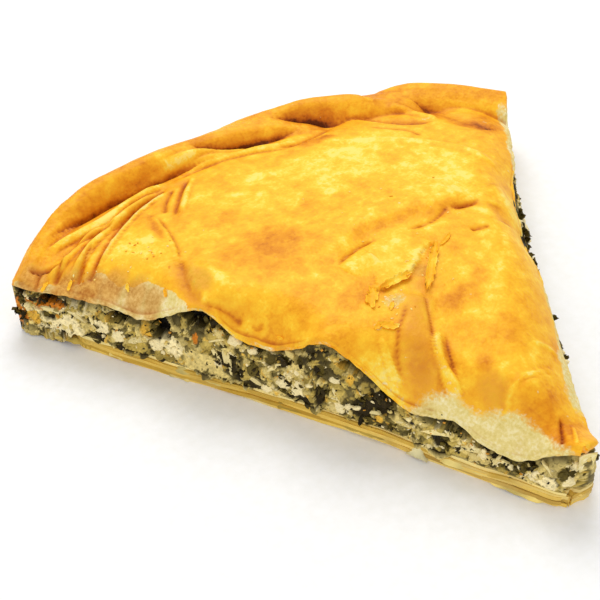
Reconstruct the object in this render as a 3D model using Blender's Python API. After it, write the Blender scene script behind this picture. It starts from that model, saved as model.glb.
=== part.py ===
"""A wedge cut from a round spinach and cheese pie: filo lid with a twisted rim, filling, filo base."""

import math
import random

import bmesh
import bpy
import numpy as np
from mathutils import Matrix, Quaternion, Vector

# Driving sizes, in metres. The slice is a wedge of a pie 300 mm across.
PIE_RADIUS = 0.150
SLICE_ANGLE = math.radians(67.0)
BASE_THICKNESS = 0.0048
WALL_THICKNESS = 0.0025
LID_THICKNESS = 0.0027
LID_EDGE_THICKNESS = 0.0020
RIM_SEAT_HEIGHT = 0.0156
GAP = 0.0003

# The origin lies on the base, under the middle of the slice's area, this far from the pie's centre.
CENTRE_TO_ORIGIN = 0.63 * PIE_RADIUS

# Both cuts bow inwards and flare out below. The right one starts beside the centre, which leaves a blunt tip.
LEFT_CUT_BOW = 0.0026
RIGHT_CUT_BOW = 0.0032
RIGHT_CUT_SHIFT_AT_TIP = 0.0036
RIGHT_CUT_SHIFT_AT_RIM = 0.0010
LEFT_FLARE = 0.0006
RIGHT_FLARE = 0.0022
TIP_SHARE = 0.03

# Heights are shares of the radius, at shares of the way from the pie's centre to its rim.
SPINE_UNDER = (
    (0, 0.118), (0.1, 0.146), (0.25, 0.166), (0.45, 0.180), (0.65, 0.170), (0.8, 0.150), (0.9, 0.128),
    (0.965, 0.104), (1, 0.104),
)
LEFT_LIP = (
    (0, 0.093), (0.05, 0.084), (0.1, 0.062), (0.15, 0.073), (0.2, 0.098), (0.26, 0.086), (0.3, 0.105),
    (0.36, 0.148), (0.41, 0.170), (0.46, 0.140), (0.5, 0.121), (0.56, 0.124), (0.62, 0.163), (0.68, 0.130),
    (0.74, 0.103), (0.8, 0.113), (0.9, 0.107), (0.95, 0.104), (1, 0.104),
)
RIGHT_LIP = (
    (0, 0.093), (0.1, 0.095), (0.2, 0.108), (0.35, 0.125), (0.5, 0.118), (0.65, 0.128), (0.8, 0.130),
    (0.9, 0.104), (1, 0.104),
)
LEFT_DROOP_WIDTH = 0.078
RIGHT_DROOP_WIDTH = 0.095
TIP_DROOP_REACH = 0.07

# The rim is a roll of dough, twisted into pleats.
RIM_CENTRE = 0.945
RIM_HALF_WIDTH = 0.064
RIM_BULGE = 0.0016
RIM_INSET_BELOW = 0.4
# From the left cut (-1) to the right (1): the height of the rim's top, in metres.
RIM_TOP = (
    (-1, 0.0200), (-0.8, 0.0236), (-0.3, 0.0262), (0.05, 0.0260), (0.3, 0.0248), (0.9, 0.0240), (1, 0.0222),
)
# In the same way, how far the top of its outer edge draws in, in shares of the radius.
RIM_DRAWN_IN = ((-1, 0.052), (-0.85, 0.016), (-0.65, 0.002), (0.45, 0.002), (0.6, 0.008), (1, 0.008))
RIM_SOFTENING = 0.0016
# Folds of the lid, and grooves where the rim's pleats overlap: points, half-width, and height or depth.
FOLDS = (
    (((-0.11, 0.42), (-0.03, 0.49), (0.05, 0.535), (0.12, 0.525), (0.21, 0.505)), 0.030, 0.014),
    (((0.09, 0.455), (0.02, 0.40), (-0.04, 0.33), (-0.085, 0.25), (-0.10, 0.19)), 0.026, 0.013),
    (((-0.265, 0.83), (-0.285, 0.74), (-0.300, 0.65), (-0.315, 0.57), (-0.29, 0.49)), 0.022, 0.012),
    (((-0.14, 0.893), (-0.25, 0.868), (-0.34, 0.838), (-0.43, 0.790)), 0.017, 0.014),
    (((-0.17, 0.880), (-0.27, 0.848), (-0.38, 0.790), (-0.455, 0.722)), 0.017, 0.013),
    (((0.18, 0.54), (0.235, 0.49), (0.24, 0.44)), 0.020, 0.010),
    (((-0.46, 0.846), (-0.35, 0.858), (-0.25, 0.880), (-0.15, 0.896), (0.04, 0.893)), 0.020, -0.020),
    (((-0.02, 0.985), (0.06, 0.938), (0.12, 0.908), (0.20, 0.885)), 0.020, -0.020),
    (((0.29, 0.945), (0.37, 0.850), (0.42, 0.780), (0.48, 0.740)), 0.020, -0.019),
    (((0.20, 0.886), (0.28, 0.858), (0.34, 0.820), (0.40, 0.800)), 0.018, -0.014),
)
FOLD_FADE = 0.06

# Cells of the grids. The lid's and the filling's grids share their points, so that they never cross.
LID_RINGS = 42
FILLING_RINGS = 40
FILLING_LEVELS = 4
BASE_RINGS = 26
BASE_FLAT_RINGS = 18
RIM_CROWDING = 0.35
FINE_BORDER = 3
FINE_RING = 36

# Crumbs of cheese and scraps of leaf and leek that stand out of the two cut faces.
CRUMB_SEED = 7
CHEESE_CRUMBS = 32
CHEESE_SIZES = (0.0020, 0.0042)
LEAF_SCRAPS = 38
LEAF_SIZES = (0.0020, 0.0038)
CRUMB_CLEARANCE = 0.0006

# The base's sheets step in and out along the cuts, and its lowest sheet comes loose at the tip.
BASE_FILLET = 0.0060
FILLING_FILLET = 0.0036
BASE_SPREAD = 0.0007
SHEET_STEP = 0.0009
LOOSE_SHEET_SPREAD = 0.0020
LOOSE_SHEET_REACH = 0.35

HALF_ANGLE = SLICE_ANGLE / 2


def smooth_curve(shares, points):
    """Heights at the given shares, along a smooth curve through the points (a monotone cubic)."""
    knots, values = np.array(points, float).T
    slopes = np.diff(values) / np.diff(knots)
    ends = np.concatenate([[slopes[0]], (slopes[1:] + slopes[:-1]) / 2, [slopes[-1]]])
    ends[1:-1][slopes[1:] * slopes[:-1] <= 0] = 0
    at = np.clip(shares, knots[0], knots[-1])
    span = np.clip(np.searchsorted(knots, at) - 1, 0, len(knots) - 2)
    width = knots[span + 1] - knots[span]
    t = (at - knots[span]) / width
    return (
        (2 * t**3 - 3 * t**2 + 1) * values[span]
        + (t**3 - 2 * t**2 + t) * width * ends[span]
        + (3 * t**2 - 2 * t**3) * values[span + 1]
        + (t**3 - t**2) * width * ends[span + 1]
    )


def smooth_step(value):
    """0 below 0, 1 above 1, and a soft S between them."""
    t = np.clip(value, 0, 1)
    return t * t * (3 - 2 * t)


def crowded(share):
    """Rings lie closer together towards the rim, where the pleats are."""
    return share + RIM_CROWDING * np.sin(np.pi * share) / np.pi


def across_of(left, right):
    """Where a grid point lies between the cuts: -1 on the left cut, 0 on the middle line, 1 on the right."""
    larger = np.maximum(np.maximum(left, right), 1e-9)
    return np.where(left >= right, right / larger - 1, 1 - left / larger)


def in_plan(share, across, left_out=0.0, right_out=0.0):
    """The x and y of a point, from the pie's centre, with each cut moved outwards or inwards."""
    angle = across * HALF_ANGLE
    x = share * PIE_RADIUS * np.sin(angle)
    y = share * PIE_RADIUS * np.cos(angle)
    arch = np.sin(np.pi * np.clip(share, 0, 1))
    shift = RIGHT_CUT_SHIFT_AT_TIP + (RIGHT_CUT_SHIFT_AT_RIM - RIGHT_CUT_SHIFT_AT_TIP) * share
    out = np.where(across < 0, left_out - LEFT_CUT_BOW * arch, right_out + shift - RIGHT_CUT_BOW * arch)
    out = out * np.abs(across) ** 3 * smooth_step(share / TIP_SHARE)
    x = x + np.sign(across) * math.cos(HALF_ANGLE) * out
    y = y - math.sin(HALF_ANGLE) * out
    return x, y


def under_lid(share, across):
    """Height of the lid's underside: a dome that droops to an uneven lip along each cut."""
    spine = smooth_curve(share, SPINE_UNDER)
    angle = across * HALF_ANGLE
    from_left = share * np.sin(np.clip(angle + HALF_ANGLE, 0, 1.5))
    from_right = share * np.sin(np.clip(HALF_ANGLE - angle, 0, 1.5))
    ramp = smooth_step(share / TIP_DROOP_REACH)
    left = np.clip(1 - from_left / LEFT_DROOP_WIDTH, 0, 1) ** 2 * ramp
    right = np.clip(1 - from_right / RIGHT_DROOP_WIDTH, 0, 1) ** 2 * ramp
    height = spine
    height = height + (smooth_curve(share, LEFT_LIP) - height) * left
    height = height + (smooth_curve(share, RIGHT_LIP) - height) * right
    return height * PIE_RADIUS


def path_distance(x, y, points, samples=28):
    """Distance from each point to a smooth curve through the path's points, and how far along it lies."""
    points = np.array(points, float)
    knots = np.linspace(0, 1, len(points))
    along = np.linspace(0, 1, samples)
    path_x = smooth_curve(along, np.stack([knots, points[:, 0]], 1))
    path_y = smooth_curve(along, np.stack([knots, points[:, 1]], 1))
    gaps = np.hypot(x[:, None] - path_x, y[:, None] - path_y)
    nearest = gaps.argmin(1)
    return gaps.min(1), along[nearest]


def fold_relief(x, y):
    """Height of the folds and depth of the grooves, in metres: each fades at both of its ends."""
    relief = np.zeros(len(x))
    for points, half_width, height in FOLDS:
        distance, along = path_distance(x / PIE_RADIUS, y / PIE_RADIUS, points)
        fade = np.sin(np.pi * np.clip(along, FOLD_FADE, 1 - FOLD_FADE)) ** 0.5
        relief += height * PIE_RADIUS * fade * np.exp(-((distance / half_width) ** 2))
    return relief


def lid_top(share, across):
    """Height of the lid's upper surface: underside, crust, the rim's roll, the folds and the grooves."""
    edge = np.abs(across) ** 6
    crust = LID_THICKNESS + (LID_EDGE_THICKNESS - LID_THICKNESS) * edge
    dome = under_lid(share, across) + crust
    round_off = np.clip(1 - ((share - RIM_CENTRE) / RIM_HALF_WIDTH) ** 2, 0, 1)
    roll = (smooth_curve(across, RIM_TOP) - RIM_SEAT_HEIGHT) * np.sqrt(round_off)
    roll = np.where(round_off > 0, RIM_SEAT_HEIGHT + roll, 0)
    joined = (dome + roll + np.sqrt((dome - roll) ** 2 + RIM_SOFTENING**2)) / 2
    x, y = in_plan(share, across)
    return np.maximum(joined + fold_relief(x, y), dome)


def cut_block(cells, levels):
    """A unit cube cut into cells x cells x levels, as a new bmesh with its corner at zero."""
    block = bmesh.new()
    bmesh.ops.create_cube(block, size=1, matrix=Matrix.Translation((0.5, 0.5, 0.5)))
    for axis, count in ((0, cells), (1, cells), (2, levels)):
        normal = Vector([float(axis == k) for k in range(3)])
        for k in range(1, count):
            everything = block.verts[:] + block.edges[:] + block.faces[:]
            place = normal * (k / count)
            bmesh.ops.bisect_plane(block, geom=everything, dist=1e-7, plane_co=place, plane_no=normal)
    return block


def thin_out(block, cells, level, border, reach, step):
    """Merge the hidden cells of the top or bottom face between the border and the reach, in cells."""
    spare = []
    for edge in block.edges:
        ends = [vert.co for vert in edge.verts]
        if any(abs(end.z - level) > 1e-5 for end in ends):
            continue
        middle = (ends[0] + ends[1]) / 2 * cells
        if not all(border + 0.25 < middle[axis] < reach - 0.25 for axis in (0, 1)):
            continue
        held = 1 if abs(ends[0].y - ends[1].y) < 1e-6 else 0
        if round(middle[held]) % step:
            spare.append(edge)
    bmesh.ops.dissolve_edges(block, edges=spare, use_verts=True)


def split_face_cells(block, level):
    """Split the cells of the top or bottom face by one rule, so that two blocks match: the square ones along
    the same diagonal, and those with more corners from their middle."""
    cells = [face for face in block.faces if all(abs(vert.co.z - level) < 1e-5 for vert in face.verts)]
    bmesh.ops.poke(block, faces=[face for face in cells if len(face.verts) > 4], center_mode="MEAN")
    for face in cells:
        if face.is_valid and len(face.verts) == 4:
            ordered = sorted(face.verts, key=lambda vert: vert.co.x + vert.co.y)
            bmesh.utils.face_split(face, ordered[0], ordered[-1])


def bend_block(block, shape):
    """Move every vertex of the block from its place in the unit cube to where shape puts it."""
    corners = np.array([vert.co for vert in block.verts])
    for vert, place in zip(block.verts, shape(*corners.T)):
        vert.co = place


def on_table(x, y, z):
    """Points measured from the pie's centre, moved to the slice's own origin."""
    return np.stack([x, y - CENTRE_TO_ORIGIN, z], 1)


def object_from(block, name, material, collection):
    """An object of the bmesh, shaded smooth with its sharp edges kept."""
    bmesh.ops.recalc_face_normals(block, faces=block.faces[:])
    mesh = bpy.data.meshes.new(name)
    block.to_mesh(mesh)
    block.free()
    mesh.materials.append(material)
    mesh.shade_smooth()
    mesh.set_sharp_from_angle(angle=math.radians(50))
    made = bpy.data.objects.new(name, mesh)
    collection.objects.link(made)
    return made


def material_of(name, colour, roughness):
    """A Principled material of one colour."""
    material = bpy.data.materials.new(name)
    material.use_nodes = True
    shader = material.node_tree.nodes["Principled BSDF"]
    shader.inputs["Base Color"].default_value = (*colour, 1)
    shader.inputs["Roughness"].default_value = roughness
    shader.inputs["Metallic"].default_value = 0
    return material


def lid_shape(left, right, level):
    """The lid: its underside follows the filling, its outer edge bulges, and its top is pleated."""
    share = crowded(np.maximum(left, right))
    across = across_of(left, right)
    low = under_lid(share, across) + GAP
    high = lid_top(share, across)
    outer = smooth_step((share - 0.90) / 0.10)
    inset = PIE_RADIUS * smooth_curve(across, RIM_DRAWN_IN)
    inset = inset * (RIM_INSET_BELOW + (1 - RIM_INSET_BELOW) * level)
    bulge = RIM_BULGE * np.sin(np.pi * level) - inset
    x, y = in_plan(share, across)
    spread = 1 + outer * bulge / PIE_RADIUS
    return on_table(x * spread, y * spread, low + (high - low) * level)


def make_lid(collection, material):
    """The top crust, in one piece with the rolled rim."""
    block = cut_block(LID_RINGS, 2)
    thin_out(block, LID_RINGS, 0, FINE_BORDER, FINE_RING, 2)
    split_face_cells(block, 0)
    bend_block(block, lid_shape)
    return object_from(block, "top_crust", material, collection)


def filling_floor(share):
    """Height of the filling's underside, rounded up to the wall at the rim."""
    outer = crowded(FILLING_RINGS / LID_RINGS) * PIE_RADIUS
    turn = np.clip((share * PIE_RADIUS - outer) / FILLING_FILLET + 1, 0, 1)
    return BASE_THICKNESS + GAP + FILLING_FILLET * (1 - np.sqrt(1 - turn**2))


def filling_shape(left, right, level):
    """The filling: flat on the base, domed under the lid, and lumpy where it was cut."""
    scale = FILLING_RINGS / LID_RINGS
    share = crowded(np.maximum(left, right) * scale)
    across = across_of(left, right)
    low = filling_floor(share)
    high = under_lid(share, across)
    z = low + (high - low) * level
    low_down = 1 - level
    lumps = 0.0007 * np.sin(share * 61 + level * 5) * np.sin(np.pi * level)
    x, y = in_plan(share, across, LEFT_FLARE * low_down + lumps, RIGHT_FLARE * low_down + lumps)
    return on_table(x, y, z)


def crumb(size, flatness, broken, spot, turn, collection):
    """One lump, flattened, turned and set at its spot: a cube with broken edges, or a small icosphere."""
    lump = bmesh.new()
    if broken:
        bmesh.ops.create_cube(lump, size=1.7)
        bmesh.ops.bevel(lump, geom=lump.edges[:], offset=0.42, segments=1, affect="EDGES")
    else:
        bmesh.ops.create_icosphere(lump, subdivisions=1, radius=1)
    shape = Matrix.LocRotScale(spot, turn, Vector((size, size * flatness, size * (0.6 + 0.4 * flatness))))
    bmesh.ops.transform(lump, matrix=shape, verts=lump.verts[:])
    mesh = bpy.data.meshes.new("crumb")
    lump.to_mesh(mesh)
    lump.free()
    made = bpy.data.objects.new("crumb", mesh)
    collection.objects.link(made)


def scatter_crumbs(collection):
    """Lumps half sunk in both cut faces, spread evenly along them, clear of the lid and the base."""
    draw = random.Random(CRUMB_SEED)
    kinds = [(CHEESE_CRUMBS, CHEESE_SIZES, (0.7, 0.95), True), (LEAF_SCRAPS, LEAF_SIZES, (0.35, 0.55), False)]
    for count, sizes, flat, broken in kinds:
        for k in range(count):
            side = -1 if k % 2 else 1
            share = 0.05 + 0.90 * ((k + draw.uniform(0.1, 0.9)) / count)
            floor = float(filling_floor(np.array([share]))[0]) + CRUMB_CLEARANCE
            near = share + np.array([-1, 0, 1]) * sizes[1] / PIE_RADIUS
            roof = float(under_lid(near, np.full(3, float(side))).min()) - CRUMB_CLEARANCE
            size = min(draw.uniform(*sizes), (roof - floor) * 0.34)
            z = draw.uniform(floor + size, roof - size)
            flare = LEFT_FLARE if side < 0 else RIGHT_FLARE
            sink = flare * (1 - (z - floor) / (roof - floor)) - 0.35 * size
            x, y = in_plan(np.array([share]), np.array([float(side)]), sink, sink)
            spot = Vector((float(x[0]), float(y[0]) - CENTRE_TO_ORIGIN, z))
            axis = Vector((draw.random(), draw.random(), 1)).normalized()
            turn = Quaternion(axis, draw.uniform(0, math.tau))
            crumb(size, draw.uniform(*flat), broken, spot, turn, collection)


def join_all(target, collection):
    """Fuse everything in the collection to the target with one Boolean union, then remove the collection."""
    union = target.modifiers.new("union", "BOOLEAN")
    union.operation = "UNION"
    union.operand_type = "COLLECTION"
    union.collection = collection
    union.solver = "MANIFOLD"
    bpy.context.view_layer.update()
    graph = bpy.context.evaluated_depsgraph_get()
    fused = bpy.data.meshes.new_from_object(target.evaluated_get(graph))
    target.modifiers.clear()
    target.data = fused
    for helper in list(collection.objects):
        bpy.data.objects.remove(helper)
    bpy.data.collections.remove(collection)


def make_filling(collection, material):
    """The mass of chopped greens and cheese, with its crumbs fused on."""
    block = cut_block(FILLING_RINGS, FILLING_LEVELS)
    thin_out(block, FILLING_RINGS, 1, FINE_BORDER, FINE_RING, 2)
    split_face_cells(block, 1)
    thin_out(block, FILLING_RINGS, 0, 1, FILLING_RINGS - 1, 9)
    bend_block(block, filling_shape)
    made = object_from(block, "filling", material, collection)
    crumbs = bpy.data.collections.new("crumbs")
    bpy.context.scene.collection.children.link(crumbs)
    scatter_crumbs(crumbs)
    join_all(made, crumbs)
    return made


def base_shape(left, right, level):
    """The base: a sheet that lies flat, then turns up round a fillet into the outer wall."""
    ring = np.maximum(left, right) * BASE_RINGS
    across = across_of(left, right)
    outer = crowded(FILLING_RINGS / LID_RINGS) * PIE_RADIUS + GAP + WALL_THICKNESS
    flat_length = outer - BASE_FILLET
    turn_rings = 4
    turn = np.clip((ring - BASE_FLAT_RINGS) / turn_rings, 0, 1)
    climb = np.clip((ring - BASE_FLAT_RINGS - turn_rings) / (BASE_RINGS - BASE_FLAT_RINGS - turn_rings), 0, 1)
    angle = turn * math.pi / 2
    thick = BASE_THICKNESS + (WALL_THICKNESS - BASE_THICKNESS) * smooth_step(turn)
    radius = np.minimum(ring / BASE_FLAT_RINGS, 1) * flat_length
    radius = radius + BASE_FILLET * np.sin(angle)
    z = BASE_FILLET * (1 - np.cos(angle)) + climb * (RIM_SEAT_HEIGHT - BASE_FILLET)
    radius = radius - level * thick * np.sin(angle)
    z = z + level * thick * np.cos(angle)
    share = radius / PIE_RADIUS
    sheets = SHEET_STEP * np.sin(level * 3.5 * math.pi) * (1 - turn)
    loose = LOOSE_SHEET_SPREAD * np.clip(1 - share / LOOSE_SHEET_REACH, 0, 1) * (1 - level)
    spread = BASE_SPREAD + sheets
    x, y = in_plan(share, across, LEFT_FLARE + spread + loose, RIGHT_FLARE + spread)
    return on_table(x, y, z)


def make_base(collection, material):
    """The bottom crust: the layered base and the outer wall in one piece."""
    block = cut_block(BASE_RINGS, 4)
    bend_block(block, base_shape)
    return object_from(block, "bottom_crust", material, collection)


def main():
    """Clear the scene and build the three pieces of the slice."""
    for old in list(bpy.data.objects):
        bpy.data.objects.remove(old)
    collection = bpy.data.collections.new("spinach_cheese_pie_slice")
    bpy.context.scene.collection.children.link(collection)
    make_lid(collection, material_of("golden_filo", (0.93, 0.47, 0.045), 0.5))
    make_filling(collection, material_of("greens_and_cheese", (0.34, 0.27, 0.11), 0.75))
    make_base(collection, material_of("pale_filo", (0.74, 0.53, 0.18), 0.65))


main()
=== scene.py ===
"""Looks of a wedge of spinach and cheese pie: golden filo lid, twisted rim, chopped filling, filo base."""

import logging
import math
from dataclasses import dataclass, field
from enum import Enum
from functools import partial
from typing import Callable, ClassVar, Optional

import bpy
import numpy as np
from mathutils import Matrix, Vector


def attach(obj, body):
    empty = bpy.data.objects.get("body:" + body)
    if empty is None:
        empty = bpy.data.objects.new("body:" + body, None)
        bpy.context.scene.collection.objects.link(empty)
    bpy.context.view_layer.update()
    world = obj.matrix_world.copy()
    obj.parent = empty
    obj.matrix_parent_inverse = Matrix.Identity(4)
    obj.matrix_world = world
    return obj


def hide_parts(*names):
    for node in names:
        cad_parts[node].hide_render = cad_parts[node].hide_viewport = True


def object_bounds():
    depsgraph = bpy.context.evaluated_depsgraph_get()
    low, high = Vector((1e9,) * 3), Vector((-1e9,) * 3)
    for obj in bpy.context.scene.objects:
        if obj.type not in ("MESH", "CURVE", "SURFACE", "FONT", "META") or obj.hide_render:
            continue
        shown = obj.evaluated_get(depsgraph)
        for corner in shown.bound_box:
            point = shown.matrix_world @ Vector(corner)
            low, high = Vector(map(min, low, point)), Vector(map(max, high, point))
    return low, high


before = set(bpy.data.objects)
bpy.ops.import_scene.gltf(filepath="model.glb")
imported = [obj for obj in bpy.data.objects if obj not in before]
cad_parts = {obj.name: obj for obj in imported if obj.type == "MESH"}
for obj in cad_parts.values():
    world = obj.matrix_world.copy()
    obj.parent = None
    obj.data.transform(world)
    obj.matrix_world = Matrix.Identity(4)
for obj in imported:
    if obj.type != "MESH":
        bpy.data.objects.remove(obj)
CAD_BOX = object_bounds()

LOG = logging.getLogger("pie_slice")
MM = 0.001
BUMP_DEPTH = 0.3 * MM

Array = np.ndarray
Draws = np.random.Generator
UP = np.array([0.0, 0.0, 1.0])
Piece = bpy.types.Object
Material = bpy.types.Material
Tree = bpy.types.NodeTree
Socket = bpy.types.NodeSocket
Plan = tuple[float, ...]
Curve = tuple[tuple[float, float], ...]
Surface = Callable[[Array, Array], Array]
Adder = Callable[..., Socket]


class Side(Enum):
    """The two cut faces, by the sign of the angle that they lie at."""

    LEFT = -1
    RIGHT = 1


LEFT, RIGHT = Side


class Relief(Enum):
    """How a stroke on the lid is raised or sunk, seen across its line."""

    ROLL = "round, with a crease at both feet"
    SWELL = "soft on both sides"
    STEP = "drops on the right of its line and fades to the left"
    PINCH = "a sharp furrow between rounded shoulders"


ROLL, SWELL, STEP, PINCH = Relief


class Tone(Enum):
    """Colours of the chopped filling, sRGB."""

    CREAM = "#e6cd7e"
    OLIVE = "#c2a64e"
    GREY = "#9a8444"
    DARK = "#2e240c"
    LEAF = "#574a1c"
    FETA = "#fdeab0"
    YELLOW = "#e8b643"
    ORANGE = "#d47e1e"
    # Painted shadow: near black, for the shade inside the hollows sunk under the lid.
    SHADOWED_HOLLOW = "#0e0a04"


CREAM, OLIVE, GREY, DARK, LEAF, FETA, YELLOW, ORANGE, SHADOWED_HOLLOW = Tone
Mixture = tuple[tuple[Tone, float], ...]
FacePlace = tuple[Side, float, float]


def ease(value: Array) -> Array:
    """0 below 0, 1 above 1, and 3t^2 - 2t^3 between them."""
    t = np.clip(value, 0, 1)
    return t * t * (3 - 2 * t)


def smooth_curve(at: Array, points: Curve) -> Array:
    """A monotone cubic through points: Hermite pieces, with the mean of both sides' slopes at each.

    Args:
        at: where to read the curve.
        points: its knots and values.

    Returns:
        The curve's values, held level beyond its ends.
    """
    knots, values = np.array(points, float).T
    slopes = np.diff(values) / np.diff(knots)
    ends = np.concatenate([[slopes[0]], (slopes[1:] + slopes[:-1]) / 2, [slopes[-1]]])
    ends[1:-1][slopes[1:] * slopes[:-1] <= 0] = 0
    at = np.clip(at, knots[0], knots[-1])
    span = np.clip(np.searchsorted(knots, at) - 1, 0, len(knots) - 2)
    width = knots[span + 1] - knots[span]
    t = (at - knots[span]) / width
    return (
        (2 * t**3 - 3 * t**2 + 1) * values[span]
        + (t**3 - 2 * t**2 + t) * width * ends[span]
        + (3 * t**2 - 2 * t**3) * values[span + 1]
        + (t**3 - t**2) * width * ends[span + 1]
    )


def hashed(at: Array, seed: int) -> Array:
    """A number from 0 to 1 for each whole-number place, by multiplying and folding its bits.

    Args:
        at: (n, 2) or (n, 3) whole numbers.
        seed: chooses the numbers.

    Returns:
        (n,) values, the same every run.
    """
    keys = np.array([374761393, 668265263, 2147483647], np.int64)[: at.shape[1]]
    mixed = (at.astype(np.int64) * keys).sum(1) + seed * 1274126177
    mixed = mixed & 0xFFFFFFFF
    mixed = ((mixed ^ (mixed >> 13)) * 1103515245) & 0xFFFFFFFF
    mixed = ((mixed ^ (mixed >> 16)) * 2654435761) & 0xFFFFFFFF
    return mixed / 0xFFFFFFFF


def lattice_noise(points: Array, seed: int) -> Array:
    """Value noise from -1 to 1: hashed numbers on a lattice, blended by quintic weights.

    Args:
        points: (n, 3) places, one cell to the unit.
        seed: chooses the hashed numbers.

    Returns:
        (n,) values.
    """
    cell = np.floor(points).astype(np.int64)
    part = points - cell
    weight = part**3 * (part * (part * 6 - 15) + 10)
    total = np.zeros(len(points))
    for corner in np.ndindex(2, 2, 2):
        value = 2 * hashed(cell + np.array(corner), seed) - 1
        share = np.prod(np.where(np.array(corner) == 1, weight, 1 - weight), axis=1)
        total += value * share
    return total


def cell_lumps(places: Array, size: float, seed: int) -> tuple[Array, Array]:
    """Split a plane into lumps: each cell holds one hashed seed, and a place belongs to the nearest.

    Args:
        places: (n, 2) places.
        size: width of a cell, in the same unit.
        seed: chooses where the seeds lie.

    Returns:
        The (n, 2) cell that owns each place, and how much farther the second seed is.
    """
    at = places / size
    cell = np.floor(at).astype(np.int64)
    near = np.full(len(at), 9.0)
    second = near.copy()
    owner = cell.copy()
    for step in np.ndindex(3, 3):
        there = cell + np.array(step) - 1
        spot = there + np.stack([hashed(there, seed), hashed(there, seed + 1)], 1)
        far = np.hypot(*(spot - at).T)
        closer = far < near
        second = np.where(closer, near, np.minimum(second, far))
        near = np.where(closer, far, near)
        owner = np.where(closer[:, None], there, owner)
    return owner, (second - near) * size


def blur_grid(values: Array, reach: int) -> Array:
    """Mean over a square window, by running sums along each axis; edges are repeated outwards.

    Args:
        values: (rows, columns) numbers.
        reach: how many cells the window goes to each side.

    Returns:
        The means, in the same shape.
    """
    for axis in (0, 1):
        pad = [(0, 0), (0, 0)]
        pad[axis] = (reach + 1, reach)
        sums = np.cumsum(np.pad(values, pad, "edge"), axis=axis)
        ahead = np.take(sums, np.arange(2 * reach + 1, sums.shape[axis]), axis=axis)
        behind = np.take(sums, np.arange(0, sums.shape[axis] - 2 * reach - 1), axis=axis)
        values = (ahead - behind) / (2 * reach + 1)
    return values


def noise(points: Array, size: float, seed: int, octaves: int = 3) -> Array:
    """Value noise summed over octaves, each half as wide and half as strong as the one before.

    Args:
        points: (n, 3) places in metres.
        size: width of the widest cell, in metres.
        seed: chooses the pattern.
        octaves: how many layers.

    Returns:
        (n,) values, mostly between -1 and 1.
    """
    total = np.zeros(len(points))
    for k in range(octaves):
        total += lattice_noise(points * (2**k / size), seed + 17 * k) / 2**k
    return total / (2 - 2 ** (1 - octaves))


def triples(x: Array, y: float | Array = 0.0, z: float | Array = 0.0) -> Array:
    """x, y and z stacked as (n, 3) points; y and z may be one number."""
    return np.stack([np.ravel(np.broadcast_to(part, np.shape(x))) for part in (x, y, z)], 1)


def span_grid(rows: int, columns: int, low: float = -1.0) -> tuple[Array, Array]:
    """Two (rows, columns) grids of numbers from low to 1, one along the rows and one across them."""
    return np.meshgrid(np.linspace(low, 1, rows), np.linspace(low, 1, columns), indexing="ij")


def unit(vector: Array) -> Array:
    """The vector at length 1."""
    return vector / np.linalg.norm(vector)


def blend(first: Array, second: Array, share: float | Array) -> Array:
    """Colours from the first, at share 0, to the second, at 1."""
    return first + (second - first) * np.expand_dims(share, -1)


def smooth_line(points: Plan | Array, per_point: int, radius: float) -> Array:
    """A smooth line through plan points: each coordinate is a monotone cubic of the chord length.

    Args:
        points: x and y in turn, in thousandths of the radius.
        per_point: how many samples for each point.
        radius: the pie's, in metres.

    Returns:
        (samples, 2) points in metres.
    """
    corners = np.reshape(points, (-1, 2)).astype(float)
    chord = np.concatenate([[0], np.cumsum(np.hypot(*np.diff(corners, axis=0).T))])
    at = np.linspace(0, 1, per_point * len(corners))
    curves = [smooth_curve(at, np.stack([chord / chord[-1], corners[:, k]], 1)) for k in (0, 1)]
    return np.stack(curves, 1) * radius / 1000


def signed_gap(x: Array, y: Array, line: Array) -> tuple[Array, Array]:
    """Distance to a line, positive on its left, and how far along it the nearest place lies.

    The offset from the nearest sample is split along and across the line's tangent there.

    Args:
        x, y: places in plan.
        line: (samples, 2) points of the line.

    Returns:
        The signed distances and the shares of the line's length.
    """
    across_x = x[:, None] - line[:, 0]
    across_y = y[:, None] - line[:, 1]
    nearest = (across_x**2 + across_y**2).argmin(1)
    tangent = np.gradient(line, axis=0)
    spacing = np.hypot(*tangent.T)
    tangent = tangent / spacing[:, None]
    rows = np.arange(len(x))
    off_x = across_x[rows, nearest]
    off_y = across_y[rows, nearest]
    side = tangent[nearest, 0] * off_y - tangent[nearest, 1] * off_x
    ahead = tangent[nearest, 0] * off_x + tangent[nearest, 1] * off_y
    slack = np.maximum(np.abs(ahead) - spacing[nearest] / 2, 0)
    gap = np.where(side < 0, -1, 1) * np.hypot(side, slack)
    return gap, nearest / (len(line) - 1)


def light_of(text: str) -> Array:
    """An sRGB hex colour as linear light, with alpha 1."""
    parts = np.array([int(text[k : k + 2], 16) / 255 for k in (1, 3, 5)])
    light = np.where(parts <= 0.04045, parts / 12.92, ((parts + 0.055) / 1.055) ** 2.4)
    return np.append(light, 1.0)


def grid_quads(rows: int, columns: int, start: int = 0) -> Array:
    """Quads of a grid of vertices numbered row by row from start, turned so that row x column points up."""
    at = start + np.arange(rows * columns).reshape(rows, columns)
    return np.stack([at[:-1, :-1], at[1:, :-1], at[1:, 1:], at[:-1, 1:]], -1).reshape(-1, 4)


def loop_quads(upper: Array, lower: Array) -> Array:
    """Quads between two closed loops of vertex numbers of the same length."""
    return np.stack([upper, np.roll(upper, -1), np.roll(lower, -1), lower], -1)


def turned_out(points: Array, faces: list[Array]) -> list[Array]:
    """Turn the faces of a closed shape over where its signed volume, summed over triangle fans, is negative.

    Args:
        points: (n, 3) vertices.
        faces: arrays of vertex numbers, each of one face width.

    Returns:
        The faces, all looking outwards.
    """
    volume = 0.0
    for group in faces:
        for k in range(1, group.shape[1] - 1):
            first, second, third = points[group[:, 0]], points[group[:, k]], points[group[:, k + 1]]
            volume += float((first * np.cross(second, third)).sum())
    return faces if volume > 0 else [group[:, ::-1] for group in faces]


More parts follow.
